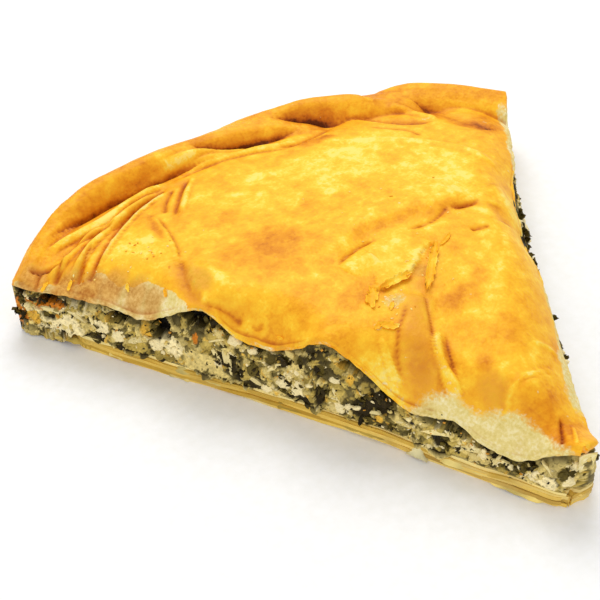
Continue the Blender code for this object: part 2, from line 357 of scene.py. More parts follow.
def cube_ball(cells: int) -> tuple[Array, Array]:
    """A ball from a cube: each side is a grid, blown up to radius 1, with shared vertices merged.

    Args:
        cells: how many along each edge.

    Returns:
        (n, 3) vertices and (m, 4) faces.
    """
    u, v = (grid.ravel() for grid in span_grid(cells + 1, cells + 1))
    points, faces = [], []
    for axis in range(3):
        for sign in (-1, 1):
            side = np.empty((len(u), 3))
            side[:, axis] = sign
            side[:, (axis + 1) % 3] = u
            side[:, (axis + 2) % 3] = v
            quads = grid_quads(cells + 1, cells + 1, len(points) * len(u))
            faces.append(quads if sign > 0 else quads[:, ::-1])
            points.append(side)
    unique, back = np.unique(np.round(np.concatenate(points), 6), axis=0, return_inverse=True)
    return unique / np.linalg.norm(unique, axis=1)[:, None], back.ravel()[np.concatenate(faces)]


def make_piece(
    name: str,
    points: Array,
    faces: list[Array],
    material: Material,
    tints: Optional[dict[str, Array]] = None,
    sharp_degrees: float = 60.0,
    inside: bool = True,
) -> Piece:
    """Put arrays into a mesh object at the origin, shaded smooth.

    Args:
        name: the piece's name.
        points: (n, 3) vertices in metres.
        faces: arrays of vertex numbers, each of one face width.
        material: its finish.
        tints: colour attributes, (n, 4) by name.
        sharp_degrees: edges bent by more than this stay sharp.
        inside: whether vertices are held within the CAD's box.

    Returns:
        The new object.
    """
    if inside:
        points = np.clip(points, np.array(CAD_BOX[0]) + 0.02 * MM, np.array(CAD_BOX[1]) - 0.02 * MM)
    mesh = bpy.data.meshes.new(name)
    counts = np.concatenate([np.full(len(f), f.shape[1]) for f in faces])
    corners = np.concatenate([f.ravel() for f in faces])
    mesh.vertices.add(len(points))
    mesh.vertices.foreach_set("co", points.astype(np.float32).ravel())
    mesh.loops.add(len(corners))
    mesh.loops.foreach_set("vertex_index", corners.astype(np.int32))
    mesh.polygons.add(len(counts))
    mesh.polygons.foreach_set("loop_start", (np.cumsum(counts) - counts).astype(np.int32))
    mesh.update(calc_edges=True)
    mesh.validate()
    for label, values in (tints or {}).items():
        tint = mesh.color_attributes.new(label, "FLOAT_COLOR", "POINT")
        tint.data.foreach_set("color", values.astype(np.float32).ravel())
    mesh.materials.append(material)
    mesh.shade_smooth()
    mesh.set_sharp_from_angle(angle=math.radians(sharp_degrees))
    made = bpy.data.objects.new(name, mesh)
    bpy.context.scene.collection.objects.link(made)
    return made


@dataclass
class Batch:
    """Many small closed shapes gathered into the arrays of one piece."""

    points: list[Array] = field(default_factory=list)
    faces: list[Array] = field(default_factory=list)
    tints: list[Array] = field(default_factory=list)
    count: int = 0

    def add(self, points: Array, faces: Array, tint: Array) -> None:
        """Add one shape.

        Args:
            points: (n, 3) vertices.
            faces: (m, 4) vertex numbers within the shape.
            tint: (4,) colour of the whole shape, or (n, 4).
        """
        self.points.append(points)
        self.faces.append(turned_out(points, [faces])[0] + self.count)
        self.tints.append(np.broadcast_to(tint, (len(points), 4)))
        self.count += len(points)

    def piece(self, name: str, material: Material, label: str, sharp: float = 60.0) -> Piece:
        """The gathered shapes as one object.

        Args:
            name: the piece's name.
            material: its finish.
            label: name of its colour attribute.
            sharp: edges bent by more than this many degrees stay sharp.

        Returns:
            The new object.
        """
        faces = [np.concatenate(self.faces)]
        tints = {label: np.concatenate(self.tints)}
        return make_piece(name, np.concatenate(self.points), faces, material, tints, sharp)


def cap_rings(border: Array, centre: Array, count: int, height: Surface) -> list[Array]:
    """Close a border with rings that shrink towards its middle, nearer to each other at first, by a square.

    Args:
        border: (n, 3) points of the border, which isn't repeated.
        centre: x and y of the middle.
        count: how many steps lead there.
        height: height of the cap at x and y.

    Returns:
        The rings, with the middle's one point last.
    """
    parts = [(k / count) ** 2 for k in range(1, count)]
    plans = [border[:, :2] + (centre - border[:, :2]) * part for part in parts] + [centre[None]]
    return [triples(*plan.T, height(*plan.T)) for plan in plans]


def slab_faces(rows: int, columns: int) -> Array:
    """Quads of a closed slab.

    Args:
        rows: of its upper and of its lower grid.
        columns: of both grids.

    Returns:
        Those of the upper grid, of the lower grid, turned over, and of the strip round their edge.
    """
    upper = grid_quads(rows, columns)
    lower = grid_quads(rows, columns, rows * columns)[:, ::-1]
    at = np.arange(rows * columns).reshape(rows, columns)
    edge = np.concatenate([at[0, :-1], at[:-1, -1], at[-1, :0:-1], at[:0:-1, 0]])
    rim = loop_quads(edge, edge + rows * columns)
    return np.concatenate([upper, lower, rim])


def slab_points(upper: Array, lower: Array) -> Array:
    """Vertices of a slab, in the order that slab_faces counts them, from two (rows, columns, 3) grids."""
    return np.concatenate([upper.reshape(-1, 3), lower.reshape(-1, 3)])


@dataclass(frozen=True)
class PieForm:
    """The wedge in plan and the heights that its three layers share."""

    radius: float = 0.150
    angle: float = math.radians(67.0)
    base_thickness: float = 0.0048
    wall_thickness: float = 0.0025
    lid_thickness: float = 0.0027
    lid_edge_thickness: float = 0.0020
    rim_seat: float = 0.0156
    gap: float = 0.0003
    centre_to_origin: float = 0.63
    left_bow: float = 0.0026
    right_bow: float = 0.0044
    right_shift_at_tip: float = 0.0036
    right_shift_at_rim: float = 0.0010
    left_flare: float = 0.0006
    right_flare: float = 0.0022
    tip_share: float = 0.03
    outer_share: float = 0.9795
    # Shares of the radius, at shares of the way from the pie's centre to its rim.
    spine: Curve = (
        (0, 0.118), (0.1, 0.146), (0.25, 0.166), (0.45, 0.180), (0.65, 0.170), (0.8, 0.150), (0.9, 0.128),
        (0.965, 0.104), (1, 0.104),
    )
    left_lip: Curve = (
        (0, 0.093), (0.05, 0.084), (0.1, 0.062), (0.15, 0.073), (0.2, 0.098), (0.26, 0.086), (0.3, 0.105),
        (0.36, 0.148), (0.41, 0.170), (0.46, 0.140), (0.5, 0.121), (0.56, 0.124), (0.62, 0.163), (0.68, 0.130),
        (0.74, 0.103), (0.8, 0.113), (0.9, 0.107), (0.95, 0.104), (1, 0.104),
    )
    right_lip: Curve = (
        (0, 0.093), (0.1, 0.095), (0.2, 0.108), (0.35, 0.125), (0.5, 0.118), (0.65, 0.128), (0.8, 0.130),
        (0.9, 0.104), (1, 0.104),
    )
    left_droop: float = 0.078
    right_droop: float = 0.095
    tip_droop: float = 0.07
    # Where the inner caps of the layers close, as a share of the radius.
    cap_centre: float = 0.62

    @property
    def half(self) -> float:
        """Half of the wedge's angle."""
        return self.angle / 2

    def in_plan(
        self,
        share: Array,
        across: Array,
        left_out: float | Array = 0.0,
        right_out: float | Array = 0.0,
    ) -> tuple[Array, Array]:
        """A place in plan from the pie's centre: polar, each cut bowed and moved by the cube of across.

        Args:
            share: of the way from the centre to the rim.
            across: -1 on the left cut, 1 on the right.
            left_out: how far the left cut moves outwards, in metres.
            right_out: the same for the right cut.

        Returns:
            x and y in metres.
        """
        turn = across * self.half
        x = share * self.radius * np.sin(turn)
        y = share * self.radius * np.cos(turn)
        arch = np.sin(np.pi * np.clip(share, 0, 1))
        shift = self.right_shift_at_tip + (self.right_shift_at_rim - self.right_shift_at_tip) * share
        out = np.where(across < 0, left_out - self.left_bow * arch, right_out + shift - self.right_bow * arch)
        out = out * np.abs(across) ** 3 * ease(share / self.tip_share)
        return x + np.sign(across) * math.cos(self.half) * out, y - math.sin(self.half) * out

    def locate(self, x: Array, y: Array) -> tuple[Array, Array]:
        """The inverse of in_plan, by four rounds of correction from the polar guess.

        Args:
            x, y: metres from the pie's centre.

        Returns:
            share and across.
        """
        aim_x, aim_y = x.copy(), y.copy()
        for _ in range(4):
            share = np.hypot(aim_x, aim_y) / self.radius
            across = np.clip(np.arctan2(aim_x, aim_y) / self.half, -1.05, 1.05)
            made_x, made_y = self.in_plan(share, across)
            aim_x, aim_y = aim_x + x - made_x, aim_y + y - made_y
        return np.clip(share, 0, 1), np.clip(across, -1, 1)

    def under_lid(self, share: Array, across: float | Array) -> Array:
        """Height of the lid's underside: the spine's curve, drawn down to each lip by a square of nearness.

        Args:
            share: of the way from the centre to the rim.
            across: -1 on the left cut, 1 on the right.

        Returns:
            Heights in metres.
        """
        height = smooth_curve(share, self.spine)
        turn = across * self.half
        ramp = ease(share / self.tip_droop)
        left, right = (self.left_lip, self.left_droop), (self.right_lip, self.right_droop)
        for angle, (lip, droop) in ((turn + self.half, left), (self.half - turn, right)):
            gap = share * np.sin(np.clip(angle, 0, 1.5))
            near = np.clip(1 - gap / droop, 0, 1) ** 2 * ramp
            height = height + (smooth_curve(share, lip) - height) * near
        return height * self.radius

    def lid_over(self, x: Array, y: Array) -> Array:
        """Height of the lid's underside over places in plan."""
        return self.under_lid(*self.locate(x, y))

    def dome(self, share: Array, across: Array) -> Array:
        """Height of the lid's smooth top: its underside and the crust, which thins towards the cuts."""
        thinned = (self.lid_edge_thickness - self.lid_thickness) * np.abs(across) ** 6
        return self.under_lid(share, across) + self.lid_thickness + thinned

    def place(self, x: Array, y: Array, z: Array) -> Array:
        """Points measured from the pie's centre, moved to the slice's origin."""
        return np.stack([x, y - self.centre_to_origin * self.radius, z], -1)

    def outward(self, side: Side) -> Array:
        """The level direction that a cut face looks in."""
        return np.array([side.value * math.cos(self.half), -math.sin(self.half), 0.0])

    def along(self, side: Side) -> Array:
        """The level direction along a cut, from the tip to the rim."""
        return np.array([side.value * math.sin(self.half), math.cos(self.half), 0.0])


def add_node(
    tree: Tree,
    kind: str,
    inputs: Optional[dict[int | str, object]] = None,
    output: int | str = 0,
    stops: Optional[list[tuple[float, str]]] = None,
    **settings: object,
) -> Socket:
    """Add a node with its settings and links.

    Args:
        tree: the material's node tree.
        kind: the node's type name after "ShaderNode".
        inputs: a value or an output socket for each input, by name or number.
        output: the wanted output's name or number.
        stops: places and hex colours of a colour ramp.
        settings: attributes of the node.

    Returns:
        That output.
    """
    node = tree.nodes.new(f"ShaderNode{kind}")
    for name, value in settings.items():
        setattr(node, name, value)
    for key, value in (inputs or {}).items():
        if isinstance(value, Socket):
            tree.links.new(value, node.inputs[key])
        else:
            node.inputs[key].default_value = value
    if stops:
        elements = node.color_ramp.elements
        while len(elements) < len(stops):
            elements.new(0.5)
        for element, (place, colour) in zip(elements, stops):
            element.position = place
            element.color = light_of(colour)
    return node.outputs[output]


@dataclass(frozen=True)
class Finish:
    """What every finish sets on its shader."""

    name: str
    roughness: float
    ior: float = 1.45
    gloss: float = 0.35

    def begin(self) -> tuple[Material, Adder, bpy.types.Node, Socket]:
        """A material with its constants set.

        Returns:
            The material, add_node for its tree, its shader and the object coordinates.
        """
        material = bpy.data.materials.new(self.name)
        material.use_nodes = True
        shader = material.node_tree.nodes["Principled BSDF"]
        shader.inputs["Roughness"].default_value = self.roughness
        shader.inputs["IOR"].default_value = self.ior
        shader.inputs["Specular IOR Level"].default_value = self.gloss
        add = partial(add_node, material.node_tree)
        return material, add, shader, add("TexCoord", output="Object")

    @staticmethod
    def link_up(shader: bpy.types.Node, colour: Socket, height: Socket, strength: float) -> None:
        """Link a colour to the shader, and a height through a bump.

        Args:
            shader: the material's shader.
            colour: the base colour.
            height: what the bump reads.
            strength: the bump's.
        """
        tree = shader.id_data
        bump = add_node(tree, "Bump", {"Height": height, "Strength": strength, "Distance": BUMP_DEPTH})
        tree.links.new(colour, shader.inputs["Base Color"])
        tree.links.new(bump, shader.inputs["Normal"])


@dataclass(frozen=True)
class GoldenFilo(Finish):
    """Oven-browned filo brushed with oil: satin, from bright yellow to amber, cream where it is torn."""

    name: str = "baked_filo"
    roughness: float = 0.48
    ior: float = 1.40
    gloss: float = 0.22
    blotch_mm: float = 13.0
    mottle_mm: float = 3.4
    speck_mm: float = 0.8
    blister_mm: float = 3.6
    strength: float = 0.55
    attribute: str = "bake_and_shade"

    def build(self) -> Material:
        """Noise and the toast run along a ramp of browns, under pale, blush and the crease's painted shade.

        Returns:
            The material. Its attribute holds toast, pale, crease and blush.
        """
        material, add, shader, place = self.begin()
        patterns = ((self.blotch_mm, 4), (self.mottle_mm, 4), (self.speck_mm, 2), (self.blister_mm, 3))
        blotch, mottle, speck, blister = (
            add("TexNoise", {0: place, "Scale": 1 / (width * MM), "Detail": detail, "Roughness": 0.55})
            for width, detail in patterns
        )
        bake_and_shade = add("Attribute", attribute_name=self.attribute)
        toast, pale, crease = add("SeparateColor", {0: bake_and_shade}).node.outputs
        for pattern, part in ((blotch, 0.80), (mottle, 0.62), (speck, 0.30)):
            toast = add("Math", {0: pattern, 1: part, 2: toast}, operation="MULTIPLY_ADD")
        bright = add("MapRange", {0: blister, 1: 0.51, 2: 0.60, 3: 0.725, 4: 0.825})
        toast = add("Math", {0: toast, 1: bright}, operation="SUBTRACT")
        golden = add("ValToRGB", {0: toast}, stops=[
            (0.0, "#ffe06c"), (0.06, "#ffd84a"), (0.18, "#ffc62c"), (0.42, "#f6ac1e"), (0.66, "#e28c12"),
            (0.86, "#bd680a"), (1.0, "#7d400a"),
        ])
        grain = add("Math", {0: mottle, 1: speck}, operation="ADD")
        grain = add("Math", {0: grain, 1: 0.5}, operation="MULTIPLY")
        creams = [(0.3, "#d6bd62"), (0.5, "#ebd68a"), (0.7, "#fbeebe")]
        cream = add("ValToRGB", {0: grain}, stops=creams)
        blush = add("ValToRGB", {0: grain}, stops=[(0.36, "#b96f22"), (0.64, "#ecb352")])
        blister = add("MapRange", {0: blister, 1: 0.64, 2: 0.74, 3: 0.0, 4: 0.42})
        pale = add("Math", {0: pale, 1: blister}, operation="ADD")
        pale = add("Math", {0: speck, 1: 0.6, 2: pale}, operation="MULTIPLY_ADD")
        pale = add("MapRange", {0: pale, 1: 0.62, 2: 0.92})
        colour = add("Mix", {0: pale, 6: golden, 7: cream}, 2, data_type="RGBA")
        blushed = {0: bake_and_shade.node.outputs["Alpha"], 6: colour, 7: blush}
        colour = add("Mix", blushed, 2, data_type="RGBA")
        # Painted shade: the crease channel multiplies a dark orange into furrows and folds, partly for real deep
        # browning there.
        shadow = {0: crease, 6: colour, 7: light_of("#c4761a")}
        colour = add("Mix", shadow, 2, data_type="RGBA", blend_type="MULTIPLY")
        height = add("Math", {0: mottle, 1: 0.9, 2: speck}, operation="MULTIPLY_ADD")
        self.link_up(shader, colour, height, self.strength)
        return material


@dataclass(frozen=True)
class ChoppedMix(Finish):
    """Moist chopped greens, leek and cheese: each vertex has its lump's tone, mottled finely."""

    name: str = "greens_and_cheese_mix"
    roughness: float = 0.5
    ior: float = 1.4
    grain_mm: float = 1.1
    attribute: str = "tone"
    strength: float = 0.6
    spread: float = 0.30
    flecked: float = 0.0
    fleck_mm: float = 0.7

    def build(self) -> Material:
        """The tone, darkened and lightened by fine noise, with dark flecks.

        Returns:
            The material.
        """
        material, add, shader, place = self.begin()
        grain, fleck = (
            add("TexNoise", {0: place, "Scale": 1 / (width * MM), "Detail": detail, "Roughness": 0.55})
            for width, detail in ((self.grain_mm, 4), (self.fleck_mm, 3))
        )
        tone = add("Attribute", attribute_name=self.attribute)
        swing = {0: grain, 1: 0.25, 2: 0.75, 3: 1 - self.spread, 4: 1 + self.spread}
        factor = add("MapRange", swing)
        scaled = add("VectorMath", {0: tone, "Scale": factor}, operation="SCALE")
        fleck = add("MapRange", {0: fleck, 1: 0.56, 2: 0.66, 3: 0.0, 4: self.flecked})
        flecks = {0: fleck, 6: scaled, 7: light_of("#4a3d18")}
        scaled = add("Mix", flecks, 2, data_type="RGBA", blend_type="DARKEN")
        self.link_up(shader, scaled, grain, self.strength)
        return material


@dataclass(frozen=True)
class BaseFilo(Finish):
    """Soft filo from under the pie: oily, olive-gold, with paler sheets."""

    name: str = "oiled_filo"
    roughness: float = 0.55
    ior: float = 1.42
    gloss: float = 0.2
    blotch_mm: float = 9.0
    fine_mm: float = 0.8
    strength: float = 0.35
    attribute: str = "sheet"

    def build(self) -> Material:
        """The sheet's own tone under long blotches.

        Returns:
            The material.
        """
        material, add, shader, place = self.begin()
        blotch, fine = (
            add("TexNoise", {0: place, "Scale": 1 / (width * MM), "Detail": detail, "Roughness": 0.55})
            for width, detail in ((self.blotch_mm, 5), (self.fine_mm, 3))
        )
        tone = add("Attribute", attribute_name=self.attribute)
        factor = add("MapRange", {0: blotch, 1: 0.3, 2: 0.7, 3: 0.84, 4: 1.16})
        scaled = add("VectorMath", {0: tone, "Scale": factor}, operation="SCALE")
        height = add("Math", {0: blotch, 1: 2.0, 2: fine}, operation="MULTIPLY_ADD")
        self.link_up(shader, scaled, height, self.strength)
        return material


@dataclass(frozen=True)
class Stroke:
    """A fold, pleat, crack or sheet's edge on the lid, drawn along a line in plan.

    Points are x and y in turn, in thousandths of the radius from the pie's centre. Width is half of the
    stroke's, height its rise or, for a pinch, its depth, and soft the width of a step's drop, all in mm. Fade is
    the share of its length that fades out at each end; toast, crease, pale and blush colour it. Crease is
    painted shade in a furrow. Toast that darkens a furrow or a slope is partly painted shade and partly real
    browning, and toast that lightens a roll or swell is partly a painted highlight and partly paler baking.
    """

    relief: Relief
    points: Plan
    width: float
    height: float
    toast: float = 0.0
    crease: float = 0.0
    fade: float = 0.16
    pale: float = 0.0
    blush: float = 0.0
    soft: float = 0.7

    def profile(self, x: Array, y: Array, radius: float) -> Array:
        """The stroke's strength, 0 to 1, at places in plan.

        A roll is a rounded parabola of the distance, a swell is Gaussian, a pinch falls off exponentially
        from a sharp line, and a step drops within its soft width and fades to its left by a Gaussian.

        Args:
            x, y: metres from the pie's centre.
            radius: the pie's.

        Returns:
            Strengths of the same length.
        """
        line = smooth_line(self.points, 8, radius)
        width = self.width * MM
        reach = {ROLL: 1.05, SWELL: 2.4, STEP: 2.4, PINCH: 4.0}[self.relief]
        margin = reach * width + self.soft * MM
        low, high = line.min(0) - margin, line.max(0) + margin
        near = (x > low[0]) & (x < high[0]) & (y > low[1]) & (y < high[1])
        strength = np.zeros(len(x))
        if not near.any():
            return strength
        gap, along = signed_gap(x[near], y[near], line)
        if self.relief is ROLL:
            shape = np.clip(1 - (gap / width) ** 2, 0, 1) ** 0.8
        elif self.relief is STEP:
            gap = gap + 0.35 * MM * noise(triples(x[near], y[near]), 0.0016, 9)
            drop = ease(gap / (self.soft * MM) + 0.5)
            shape = drop * np.exp(-((np.maximum(gap, 0) / width) ** 2))
        elif self.relief is PINCH:
            last = math.exp(-reach)
            shape = np.clip((np.exp(-np.abs(gap) / width) - last) / (1 - last), 0, 1)
        else:
            shape = np.exp(-((gap / width) ** 2))
        taper = ease(np.minimum(along, 1 - along) / self.fade)
        strength[near] = shape * taper
        return strength


@dataclass(frozen=True)
class Strand:
    """A twisted strand of the rim; its crest is x, y in thousandths of the radius and height in mm in turn."""

    crest: tuple[float, ...]
    inner: float
    outer: float
    foot: float

    def height(self, x: Array, y: Array, radius: float) -> Array:
        """The strand's own surface: an ellipse across its crest line, which sinks at both of its ends.

        Args:
            x, y: metres from the pie's centre.
            radius: the pie's.

        Returns:
            Heights in metres, 0 where the strand doesn't reach.
        """
        points = np.reshape(self.crest, (-1, 3)).astype(float)
        gap, along = signed_gap(x, y, smooth_line(points[:, :2], 16, radius))
        crest = smooth_curve(along, np.stack([np.linspace(0, 1, len(points)), points[:, 2]], 1))
        reach = np.where(gap > 0, self.outer, self.inner) * MM
        shape = np.sqrt(np.clip(1 - (gap / reach) ** 2, 0, 1))
        return np.where(shape > 0, (self.foot + (crest - self.foot) * shape) * MM, 0)


@dataclass(frozen=True)
class Blotch:
    """A soft patch of colour on the lid: centre and half-sizes in thousandths of the pie's radius."""

    x: float
    y: float
    wide: float
    deep: float
    toast: float = 0.0
    pale: float = 0.0
    blush: float = 0.0


STROKES = tuple(Stroke(*row) for row in (
    # Furrows between the strands of the rim, from left to right.
    (PINCH, (-462, 842, -426, 862, -377, 875, -270, 892, -163, 904, -80, 893), 1.5, 4.2, 0.25, 0.4, 0.3),
    (ROLL, (-208, 916, -146, 920, -6, 899), 1.5, 0.9, -0.28),
    (PINCH, (-100, 921, -34, 915, 40, 901, 107, 897), 1.1, 1.8, 0.25, 0.35, 0.3),
    (ROLL, (-160, 902, -71, 895, -20, 885, 19, 870, 71, 860), 1.9, 1.3, -0.25, 0, 0.25),
    (PINCH, (-140, 945, -95, 927, 5, 904, 30, 893), 1.6, 2.8, 0.3, 0.5, 0.4),
    (PINCH, (0, 884, 12, 870, 28, 861, 60, 857, 145, 872, 177, 885), 1.2, 1.6, 0.1, 0.25, 0.35),
    (PINCH, (50, 955, 126, 922, 172, 890, 210, 874), 1.8, 3.8, 0.35, 0.55, 0.4),
    (PINCH, (200, 880, 232, 862, 275, 806, 306, 786, 350, 770), 1.5, 2.0, 0.22, 0.35, 0.35),
    (PINCH, (330, 880, 350, 850, 364, 818, 383, 724, 400, 700, 434, 686), 2.1, 3.2, 0.35, 0.45, 0.35),
    (ROLL, (285, 872, 312, 845, 330, 812, 345, 778), 1.6, 0.8),
    # Pleats that fan out of the rim on the left.
    (ROLL, (-205, 884, -283, 868, -361, 842, -440, 833, -475, 822), 1.5, 1.2, -0.25),
    (ROLL, (-221, 868, -294, 845, -332, 826, -400, 784, -440, 752, -466, 737), 1.4, 1.5, -0.1),
    (ROLL, (-353, 822, -385, 820, -436, 790, -497, 765), 1.5, 1.4, -0.1),
    (PINCH, (-336, 828, -359, 815, -390, 813, -431, 803, -458, 788), 0.9, 1.8, 0.2, 0.5),
    (PINCH, (-512, 806, -472, 790, -460, 792), 0.45, 1.3, 0.3, 0.8),
    (PINCH, (-455, 790, -468, 772, -485, 753), 0.7, 1.5, 0.2, 0.6),
    (PINCH, (-492, 796, -503, 785, -514, 768), 0.7, 1.2, 0, 0.5),
    (PINCH, (-400, 782, -418, 765, -438, 743, -459, 721), 0.7, 1.6, 0.2, 0.6),
    (PINCH, (-372, 776, -408, 738, -444, 708), 0.7, 1.4, 0.2, 0.6),
    (ROLL, (-430, 716, -403, 734, -361, 773, -300, 817, -210, 858), 0.9, 0.9, -0.2, 0, 0.16, 0.42),
    (PINCH, (-212, 866, -278, 841, -310, 823, -384, 765), 0.8, 1.6, 0.25, 0.55),
    (PINCH, (-168, 866, -200, 834, -228, 797, -252, 762), 0.8, 1.2, 0.25, 0.45),
    (ROLL, (-155, 868, -187, 834, -214, 797, -238, 762), 1.1, 0.7, -0.1),
    (PINCH, (-205, 856, -236, 822, -262, 780), 0.7, 1.0, 0.2, 0.45),
    # The loose flap on the left and the long fold below it.
    (STEP, (-310, 628, -291, 688, -276, 795), 5.0, 0.6, 0, 0, 0.16, 0, 0, 0.4),
    (PINCH, (-306, 635, -289, 690, -273, 790), 0.35, 0.4, 0, 0.3),
    # Painted shadow beside the flap's raised edge, as toast along a shallow dip.
    (SWELL, (-280, 805, -292, 760, -304, 700), 1.3, -0.3, 0.32),
    # Painted shade on the long fold's shaded slope, as toast on the step.
    (STEP, (-318, 500, -322, 535, -318, 575, -300, 640), 3.0, -1.1, 0.3, 0, 0.16, 0, 0.3, 2.4),
    (SWELL, (-262, 640, -276, 602, -283, 552, -276, 470), 2.6, 1.1, -0.12, 0, 0.35),
    (PINCH, (-326, 527, -299, 501, -281, 472), 0.8, 0.7, 0.25, 0.2),
    (ROLL, (-274, 474, -279, 461, -272, 447, -262, 442, -257, 452, -262, 463), 0.7, 0.6, 0, 0, 0.25, 0.15),
    # The broad wave across the middle with its creases.
    (STEP, (-110, 470, -60, 508, -10, 524, 45, 522, 110, 508, 165, 503, 215, 510), 15.0, 1.5, 0, 0, 0.16, 0,
        0, 6.5),
    # Painted shade: a toasted band of no height on the slope below the wave's crest.
    (SWELL, (-70, 498, -10, 516, 50, 515, 120, 500, 190, 496), 2.4, 0.0, 0.22),
    (PINCH, (-118, 456, -103, 470, -76, 481, -30, 490, 0, 488), 0.6, 0.8, 0.15, 0.25, 0.3),
    (SWELL, (-110, 446, -75, 453, -45, 458), 2.6, 1.1, -0.3),
    (PINCH, (30, 488, 56, 480, 82, 479, 150, 501), 0.6, 0.7, 0.15, 0.25, 0.3),
    (PINCH, (138, 493, 184, 485, 205, 489), 0.9, 1.3, 0.3, 0.7, 0.3),
    (SWELL, (224, 472, 217, 455, 213, 437, 209, 418), 2.4, -0.6, 0.28),
    (SWELL, (250, 520, 262, 470, 262, 420), 3.4, 1.2, -0.1),
    (PINCH, (130, 427, 150, 422, 168, 419), 0.7, 0.8, 0.2, 0.4),
    # The torn golden sheet and the fold that runs down from it to the cut.
    (STEP, (-100, 396, -88, 383, -43, 383, -12, 394, 20, 417, 60, 434), 4.0, 0.8, 0, 0, 0.08, 0, 0, 0.35),
    (ROLL, (-88, 386, -28, 391, 60, 437), 0.5, 0.15, -0.25, 0, 0.16, 0.3),
    (SWELL, (50, 424, 20, 392, -15, 365, -45, 345), 2.2, 0.1, 0.12, 0, 0.16, 0, 0.35),
    (ROLL, (-36, 350, -76, 308, -114, 250, -115, 220, -108, 200), 4.4, 1.1, 0.22, 0, 0.12, 0, 0.25),
    (PINCH, (-68, 336, -126, 283, -136, 257, -134, 244), 0.45, 0.6, 0.1, 0.3),
    (ROLL, (-141, 306, -145, 272, -140, 244), 0.9, 0.5, -0.25, 0, 0.16, 0.26),
    (PINCH, (-30, 344, -92, 230), 0.4, 0.6, 0.1, 0.35),
    (ROLL, (-64, 274, -88, 226, -91, 184, -96, 168), 1.4, 0.9, -0.25, 0, 0.16, 0.34),
    (PINCH, (-50, 264, -68, 232, -82, 190), 0.9, 0.8, 0.3, 0.12, 0.3),
    # Edges of the upper sheets towards the tip and on the right.
    (ROLL, (-45, 108, -42, 120, -33, 129, 45, 137, 80, 133), 0.7, 0.35, -0.25, 0, 0.16, 0.28),
    (STEP, (80, 130, 45, 132, -8, 127, -30, 124, -40, 115), 5.0, 0.5, 0.0),
    (ROLL, (60, 186, 75, 181, 88, 173, 95, 160), 0.7, 0.4, -0.3, 0, 0.16, 0.35),
    (PINCH, (16, 68, 4, 52, -8, 37, -16, 30), 0.4, 1.0, 0, 0.9),
    (ROLL, (26, 50, 10, 30, -6, 12), 0.5, 0.4, -0.2, 0, 0.16, 0.2),
    (SWELL, (95, 808, 150, 786, 274, 671, 322, 560), 1.2, 0.6, -0.28),
    (PINCH, (205, 822, 234, 790, 256, 762, 262, 722), 0.7, 0.6, 0.25, 0.25),
))
BLOTCHES = tuple(Blotch(*row) for row in (
    (100, 836, 45, 16, 0.45), (524, 785, 15, 60, 0, 0.46), (200, 420, 80, 110, -0.08),
    (60, 160, 40, 30, -0.12), (420, 720, 40, 45, 0.26), (-2, 305, 25, 22, 0.26), (36, 315, 30, 18, 0.24),
    (78, 331, 20, 14, 0.26), (54, 239, 18, 14, 0.26), (-125, 391, 45, 30, 0.2), (-36, 189, 16, 14, 0.3),
    (-47, 148, 20, 22, 0.16, 0, 0.25), (-2, 96, 38, 30, 0.14), (0, 30, 50, 28, 0.16),
    (-190, 430, 70, 40, 0.16), (-150, 560, 80, 60, 0.14), (-380, 838, 70, 12, -0.25),
    (50, 740, 220, 80, -0.16), (200, 610, 90, 70, -0.12), (-340, 735, 45, 50, -0.14), (10, 260, 50, 40, -0.1),
    (-512, 785, 26, 32, 0, 0, 0.9), (-478, 738, 34, 30, 0, 0, 0.95), (-446, 704, 34, 28, 0, 0, 0.95),
    (-416, 676, 30, 26, 0, 0, 0.85), (-392, 642, 26, 22, 0.1, 0, 0.75), (-375, 612, 16, 20, 0, 0, 0.65),
    (-305, 575, 16, 35, 0, 0, 0.45), (0, 385, 22, 14, 0, 0, 0.6), (-80, 352, 24, 16, 0, 0.55, 0.25),
    (-134, 322, 7, 6, 0, 0.75), (-158, 262, 26, 30, -0.15, 0.3), (-92, 300, 30, 30, 0.12),
    (-290, 434, 13, 24, 0, 0, 0.6), (-263, 392, 13, 24, 0, 0, 0.65), (-232, 346, 12, 20, 0, 0, 0.5),
))


